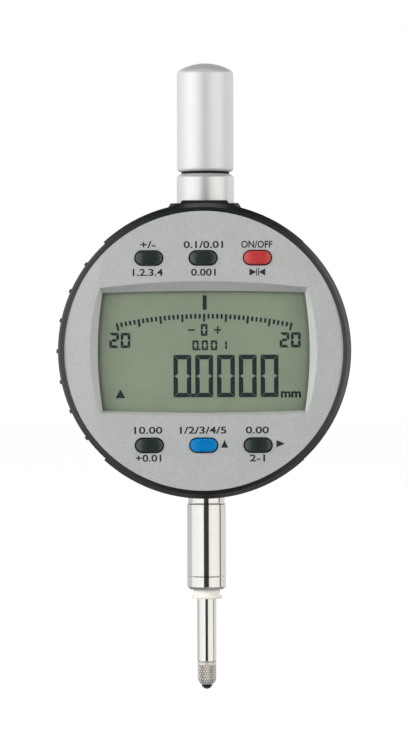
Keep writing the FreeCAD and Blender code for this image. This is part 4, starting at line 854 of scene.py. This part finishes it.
# The contact point: a shank with crossed grooves that leave small diamonds, rounded in to the ball.
# Lengths in mm; it is a grid wrapped round the axis, its first and last rows closed on the axis.
contactLow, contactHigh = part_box("contact_point")
knurl = {
    "around": 20, "diamond": 1.06, "perDiamond": 8, "depth": 0.17,
    "band": 0.6, "fade": 0.2, "edge": 0.2,
    "threadLength": 4.0, "threadWidth": 2.5, "threadSides": 32,
    "taperLength": 1.3, "taperWidth": 0.7,
}


# The point's outline by height above its end: plain, then rounded in over the taper
def outlineAt(tree, up, radius, taperLength, taperRound):
    short = addNode(tree, "ShaderNodeMath", [taperLength, up], operation="SUBTRACT")
    lack = addNode(tree, "ShaderNodeMath", [short, 0.0], operation="MAXIMUM")
    roundSquare = addNode(tree, "ShaderNodeMath", [taperRound, 2.0], operation="POWER")
    lackSquare = addNode(tree, "ShaderNodeMath", [lack, 2.0], operation="POWER")
    left = addNode(tree, "ShaderNodeMath", [roundSquare, lackSquare], operation="SUBTRACT")
    reach = addNode(tree, "ShaderNodeMath", [left], operation="SQRT")
    sag = addNode(tree, "ShaderNodeMath", [taperRound, reach], operation="SUBTRACT")
    return addNode(tree, "ShaderNodeMath", [radius, sag], operation="SUBTRACT")


def knurlTree():
    tree, given = newTree("knurledPoint", {
        "Around": "Int", "Columns": "Int", "Rows": "Int", "Radius": "Float", "Low": "Float", "High": "Float",
        "Diamond": "Float", "Depth": "Float", "Band": "Float", "Fade": "Float", "Edge": "Float",
        "TaperLength": "Float", "TaperRound": "Float", "ThreadRadius": "Float", "ThreadLength": "Float",
        "Finish": "Material"})
    sheet = addNode(tree, "GeometryNodeMeshGrid", {
        "Size X": 1.0, "Size Y": 1.0, "Vertices X": given["Columns"], "Vertices Y": given["Rows"]})
    spot = addNode(tree, "GeometryNodeInputPosition")
    at = addNode(tree, "ShaderNodeSeparateXYZ", [spot]).outputs
    turns = addNode(tree, "ShaderNodeMath", [at["X"], 0.5], operation="ADD")
    # rows are counted up the sheet, with the first and the last one kept for the closed ends
    gaps = addNode(tree, "ShaderNodeMath", [given["Rows"], 1.0], operation="SUBTRACT")
    part = addNode(tree, "ShaderNodeMath", [at["Y"], 0.5], operation="ADD")
    row = addNode(tree, "ShaderNodeMath", [part, gaps], operation="MULTIPLY")
    inner = addNode(tree, "ShaderNodeMath", [gaps, 2.0], operation="SUBTRACT")
    innerRow = addNode(tree, "ShaderNodeMath", [row, 1.0], operation="SUBTRACT")
    innerPart = addNode(tree, "ShaderNodeMath", [innerRow, inner], operation="DIVIDE")
    rise = addNode(tree, "ShaderNodeClamp", {"Value": innerPart})
    tall = addNode(tree, "ShaderNodeMath", [given["High"], given["Low"]], operation="SUBTRACT")
    up = addNode(tree, "ShaderNodeMath", [rise, tall], operation="MULTIPLY")
    fromTop = addNode(tree, "ShaderNodeMath", [tall, up], operation="SUBTRACT")
    # two families of slanting grooves
    across = addNode(tree, "ShaderNodeMath", [turns, given["Around"]], operation="MULTIPLY")
    along = addNode(tree, "ShaderNodeMath", [up, given["Diamond"]], operation="DIVIDE")
    rising = addNode(tree, "ShaderNodeMath", [across, along], operation="ADD")
    falling = addNode(tree, "ShaderNodeMath", [across, along], operation="SUBTRACT")
    one = addNode(tree, "ShaderNodeMath", [rising, 0.5], operation="PINGPONG")
    other = addNode(tree, "ShaderNodeMath", [falling, 0.5], operation="PINGPONG")
    least = addNode(tree, "ShaderNodeMath", [one, other], operation="MINIMUM")
    near = addNode(tree, "ShaderNodeMath", [0.5, least], operation="SUBTRACT")
    hollow = addNode(tree, "ShaderNodeMath", [near, given["Depth"]], operation="MULTIPLY")
    # the grooves run out before the plain band above and before the end
    underBand = addNode(tree, "ShaderNodeMath", [fromTop, given["Band"]], operation="SUBTRACT")
    above = addNode(tree, "ShaderNodeMath", [underBand, given["Fade"]], operation="DIVIDE")
    below = addNode(tree, "ShaderNodeMath", [up, given["Fade"]], operation="DIVIDE")
    fade = addNode(tree, "ShaderNodeMath", [above, below], operation="MINIMUM")
    share = addNode(tree, "ShaderNodeClamp", {"Value": fade})
    twice = addNode(tree, "ShaderNodeMath", [share, 2.0], operation="MULTIPLY")
    cut = addNode(tree, "ShaderNodeMath", [hollow, twice], operation="MULTIPLY")
    # the outline: a small bevel at the top and a round towards the end
    full = outlineAt(tree, up, given["Radius"], given["TaperLength"], given["TaperRound"])
    narrow = addNode(tree, "ShaderNodeMath", [given["Radius"], given["Edge"]], operation="SUBTRACT")
    bevel = addNode(tree, "ShaderNodeMath", [narrow, fromTop], operation="ADD")
    outline = addNode(tree, "ShaderNodeMath", [full, bevel], operation="MINIMUM")
    solid = addNode(tree, "ShaderNodeMath", [outline, cut], operation="SUBTRACT")
    rowsLeft = addNode(tree, "ShaderNodeMath", [gaps, row], operation="SUBTRACT")
    fromEnd = addNode(tree, "ShaderNodeMath", [row, rowsLeft], operation="MINIMUM")
    isOpen = addNode(tree, "ShaderNodeMath", [fromEnd, 0.5], operation="GREATER_THAN")
    radius = addNode(tree, "ShaderNodeMath", [solid, isOpen], operation="MULTIPLY")
    angle = addNode(tree, "ShaderNodeMath", [turns, 2 * math.pi], operation="MULTIPLY")
    x, y = roundSpot(tree, angle, radius)
    z = addNode(tree, "ShaderNodeMath", [up, given["Low"]], operation="ADD")
    place = addNode(tree, "ShaderNodeCombineXYZ", [x, y, z])
    wrapped = addNode(tree, "GeometryNodeSetPosition", {"Geometry": sheet, "Position": place})
    closed = addNode(tree, "GeometryNodeMergeByDistance", {"Geometry": wrapped, "Distance": weldGap})
    # the plain thread that screws into the spindle
    stub = addNode(tree, "GeometryNodeMeshCylinder", {
        "Vertices": knurl["threadSides"], "Radius": given["ThreadRadius"], "Depth": given["ThreadLength"]})
    middle = addNode(tree, "ShaderNodeMath", [given["ThreadLength"], 0.5, given["High"]],
                     operation="MULTIPLY_ADD")
    lift = addNode(tree, "ShaderNodeCombineXYZ", {"Z": middle})
    thread = addNode(tree, "GeometryNodeTransform", {"Geometry": stub, "Translation": lift})
    both = addNode(tree, "GeometryNodeJoinGeometry", [closed])
    tree.links.new(thread.outputs[0], both.inputs[0])
    closeTree(tree, both, given["Finish"])
    return tree


def addKnurl():
    top = contactHigh.z - knurl["threadLength"] * mm
    height = top - contactLow.z
    steps = round(height / (knurl["diamond"] * mm) * knurl["perDiamond"])
    length, width = knurl["taperLength"] * mm, knurl["taperWidth"] * mm
    radius, taperRound = (contactHigh.x - contactLow.x) / 2, (length ** 2 + width ** 2) / (2 * width)
    finish = knurledSteel(contactLow.z, radius, knurl["depth"] * mm, length, taperRound)
    mesh = meshFromTree(knurlTree(), {
        "Around": knurl["around"], "Columns": knurl["around"] * knurl["perDiamond"] + 1, "Rows": steps + 3,
        "Radius": radius, "Low": contactLow.z, "High": top,
        "Diamond": height / steps * knurl["perDiamond"], "Depth": knurl["depth"] * mm,
        "Band": knurl["band"] * mm, "Fade": knurl["fade"] * mm, "Edge": knurl["edge"] * mm,
        "TaperLength": length, "TaperRound": taperRound,
        "ThreadRadius": knurl["threadWidth"] / 2 * mm, "ThreadLength": knurl["threadLength"] * mm,
        "Finish": finish,
    })
    piece = placePiece("knurledPoint", mesh, None, "plunger")
    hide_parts("contact_point")


addKnurl()
print("contact point knurled")

# The back cover's screws: countersunk heads with a cross recess, each turned its own way. In mm.
screws = {"head": 3.8, "headSides": 40, "shank": 2.0, "shankSides": 24, "count": 4, "start": 45.0,
          "slotLength": 2.3, "slotWidth": 0.5, "slotDepth": 0.7, "sink": 0.03, "seed": 4}


def screwTree():
    tree, given = newTree("crossScrews", {
        "Count": "Int", "Start": "Float", "Circle": "Float", "Head": "Float", "Shank": "Float",
        "Cone": "Float", "Length": "Float", "SlotLength": "Float", "SlotWidth": "Float",
        "SlotDepth": "Float", "Centre": "Vector", "Seed": "Int", "Finish": "Material"})
    # one screw about its own Z, its head's face at 0 and its shank downwards
    cone = addNode(tree, "GeometryNodeMeshCone", {
        "Vertices": screws["headSides"], "Radius Top": given["Head"], "Radius Bottom": given["Shank"],
        "Depth": given["Cone"]})
    coneLow = addNode(tree, "ShaderNodeMath", [given["Cone"], -1.0], operation="MULTIPLY")
    down = addNode(tree, "ShaderNodeCombineXYZ", {"Z": coneLow})
    coneSet = addNode(tree, "GeometryNodeTransform", {"Geometry": cone, "Translation": down})
    arms = addNode(tree, "GeometryNodeJoinGeometry")
    slotTall = addNode(tree, "ShaderNodeMath", [given["SlotDepth"], 2.0], operation="MULTIPLY")
    long, short = given["SlotLength"], given["SlotWidth"]
    for alongX, alongY in ((long, short), (short, long)):
        size = addNode(tree, "ShaderNodeCombineXYZ", [alongX, alongY, slotTall])
        arm = addNode(tree, "GeometryNodeMeshCube", {"Size": size})
        tree.links.new(arm.outputs["Mesh"], arms.inputs[0])
    recess = addNode(tree, "GeometryNodeMeshBoolean",
                     {"Mesh 1": coneSet, "Mesh 2": arms, "Self Intersection": True},
                     operation="DIFFERENCE", solver="EXACT")
    rest = addNode(tree, "ShaderNodeMath", [given["Length"], given["Cone"]], operation="SUBTRACT")
    shank = addNode(tree, "GeometryNodeMeshCylinder", {
        "Vertices": screws["shankSides"], "Radius": given["Shank"], "Depth": rest})
    middle = addNode(tree, "ShaderNodeMath", [rest, -0.5, coneLow], operation="MULTIPLY_ADD")
    low = addNode(tree, "ShaderNodeCombineXYZ", {"Z": middle})
    shankSet = addNode(tree, "GeometryNodeTransform", {"Geometry": shank, "Translation": low})
    screw = addNode(tree, "GeometryNodeJoinGeometry", [recess])
    tree.links.new(shankSet.outputs[0], screw.inputs[0])
    # its places on a circle in the plane of the back
    row = addNode(tree, "GeometryNodeMeshLine", {"Count": given["Count"], "Offset": (0, 0, 0)},
                  mode="OFFSET")
    index = addNode(tree, "GeometryNodeInputIndex")
    part = addNode(tree, "ShaderNodeMath", [index, given["Count"]], operation="DIVIDE")
    angle = addNode(tree, "ShaderNodeMath", [part, 2 * math.pi, given["Start"]], operation="MULTIPLY_ADD")
    along, up = roundSpot(tree, angle, given["Circle"])
    spot = addNode(tree, "ShaderNodeCombineXYZ", {"X": along, "Z": up})
    place = addNode(tree, "ShaderNodeVectorMath", [spot, given["Centre"]], operation="ADD")
    points = addNode(tree, "GeometryNodeSetPosition", {"Geometry": row, "Position": place})
    stood = addNode(tree, "GeometryNodeInstanceOnPoints",
                    {"Points": points, "Instance": screw, "Rotation": (-math.pi / 2, 0, 0)})
    driven = addNode(tree, "FunctionNodeRandomValue", {"Seed": given["Seed"], 3: math.pi / 2},
                     data_type="FLOAT")
    twist = addNode(tree, "ShaderNodeCombineXYZ", {"Z": driven})
    turnedRow = addNode(tree, "GeometryNodeRotateInstances", {"Instances": stood, "Rotation": twist})
    closeTree(tree, turnedRow, given["Finish"])
    return tree


def addScrews():
    low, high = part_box("back_cover_screws")
    radius, shank = screws["head"] / 2 * mm, screws["shank"] / 2 * mm
    across = (high.x - low.x) / 2 - radius
    start = math.radians(screws["start"])
    mesh = meshFromTree(screwTree(), {
        "Count": screws["count"], "Start": start, "Circle": across / math.cos(start), "Head": radius,
        "Shank": shank, "Cone": radius - shank, "Length": high.y - low.y - screws["sink"] * mm,
        "SlotLength": screws["slotLength"] * mm, "SlotWidth": screws["slotWidth"] * mm,
        "SlotDepth": screws["slotDepth"] * mm,
        "Centre": ((low.x + high.x) / 2, high.y - screws["sink"] * mm, (low.z + high.z) / 2),
        "Seed": screws["seed"], "Finish": finishes["screw"],
    })
    piece = placePiece("crossScrews", mesh, None, "case")
    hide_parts("back_cover_screws")


addScrews()
print("screws set")

# The return spring: round wire wound between the carrier and the guide bush, lengths in mm.
# It is wound at its rest length and keeps it; the real spring shortens as the plunger lifts.
coil = {"wire": 0.5, "pitch": 2.8, "perTurn": 36, "sides": 10}


def coilTree():
    tree, given = newTree("woundSpring", {
        "PerTurn": "Int", "Turns": "Float", "Radius": "Float", "Height": "Float", "Wire": "Float",
        "Sides": "Int", "Base": "Vector", "Finish": "Material"})
    path = addNode(tree, "GeometryNodeCurveSpiral", {
        "Resolution": given["PerTurn"], "Rotations": given["Turns"], "Start Radius": given["Radius"],
        "End Radius": given["Radius"], "Height": given["Height"]})
    section = addNode(tree, "GeometryNodeCurvePrimitiveCircle",
                      {"Resolution": given["Sides"], "Radius": given["Wire"]})
    wound = addNode(tree, "GeometryNodeCurveToMesh",
                    {"Curve": path, "Profile Curve": section, "Fill Caps": True})
    stood = addNode(tree, "GeometryNodeTransform", {"Geometry": wound, "Translation": given["Base"]})
    closeTree(tree, stood, given["Finish"])
    return tree


def addCoil():
    low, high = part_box("return_spring")
    wire = coil["wire"] / 2 * mm
    length = high.z - low.z
    mesh = meshFromTree(coilTree(), {
        "PerTurn": coil["perTurn"], "Turns": (length - 2 * wire) / (coil["pitch"] * mm),
        "Radius": (high.x - low.x) / 2 - wire, "Height": length - 2 * wire, "Wire": wire,
        "Sides": coil["sides"], "Base": (0, 0, low.z + wire), "Finish": finishes["spring"],
    })
    piece = placePiece("returnCoil", mesh, None, "case")
    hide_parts("return_spring")
    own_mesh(piece)


addCoil()
print("spring wound")
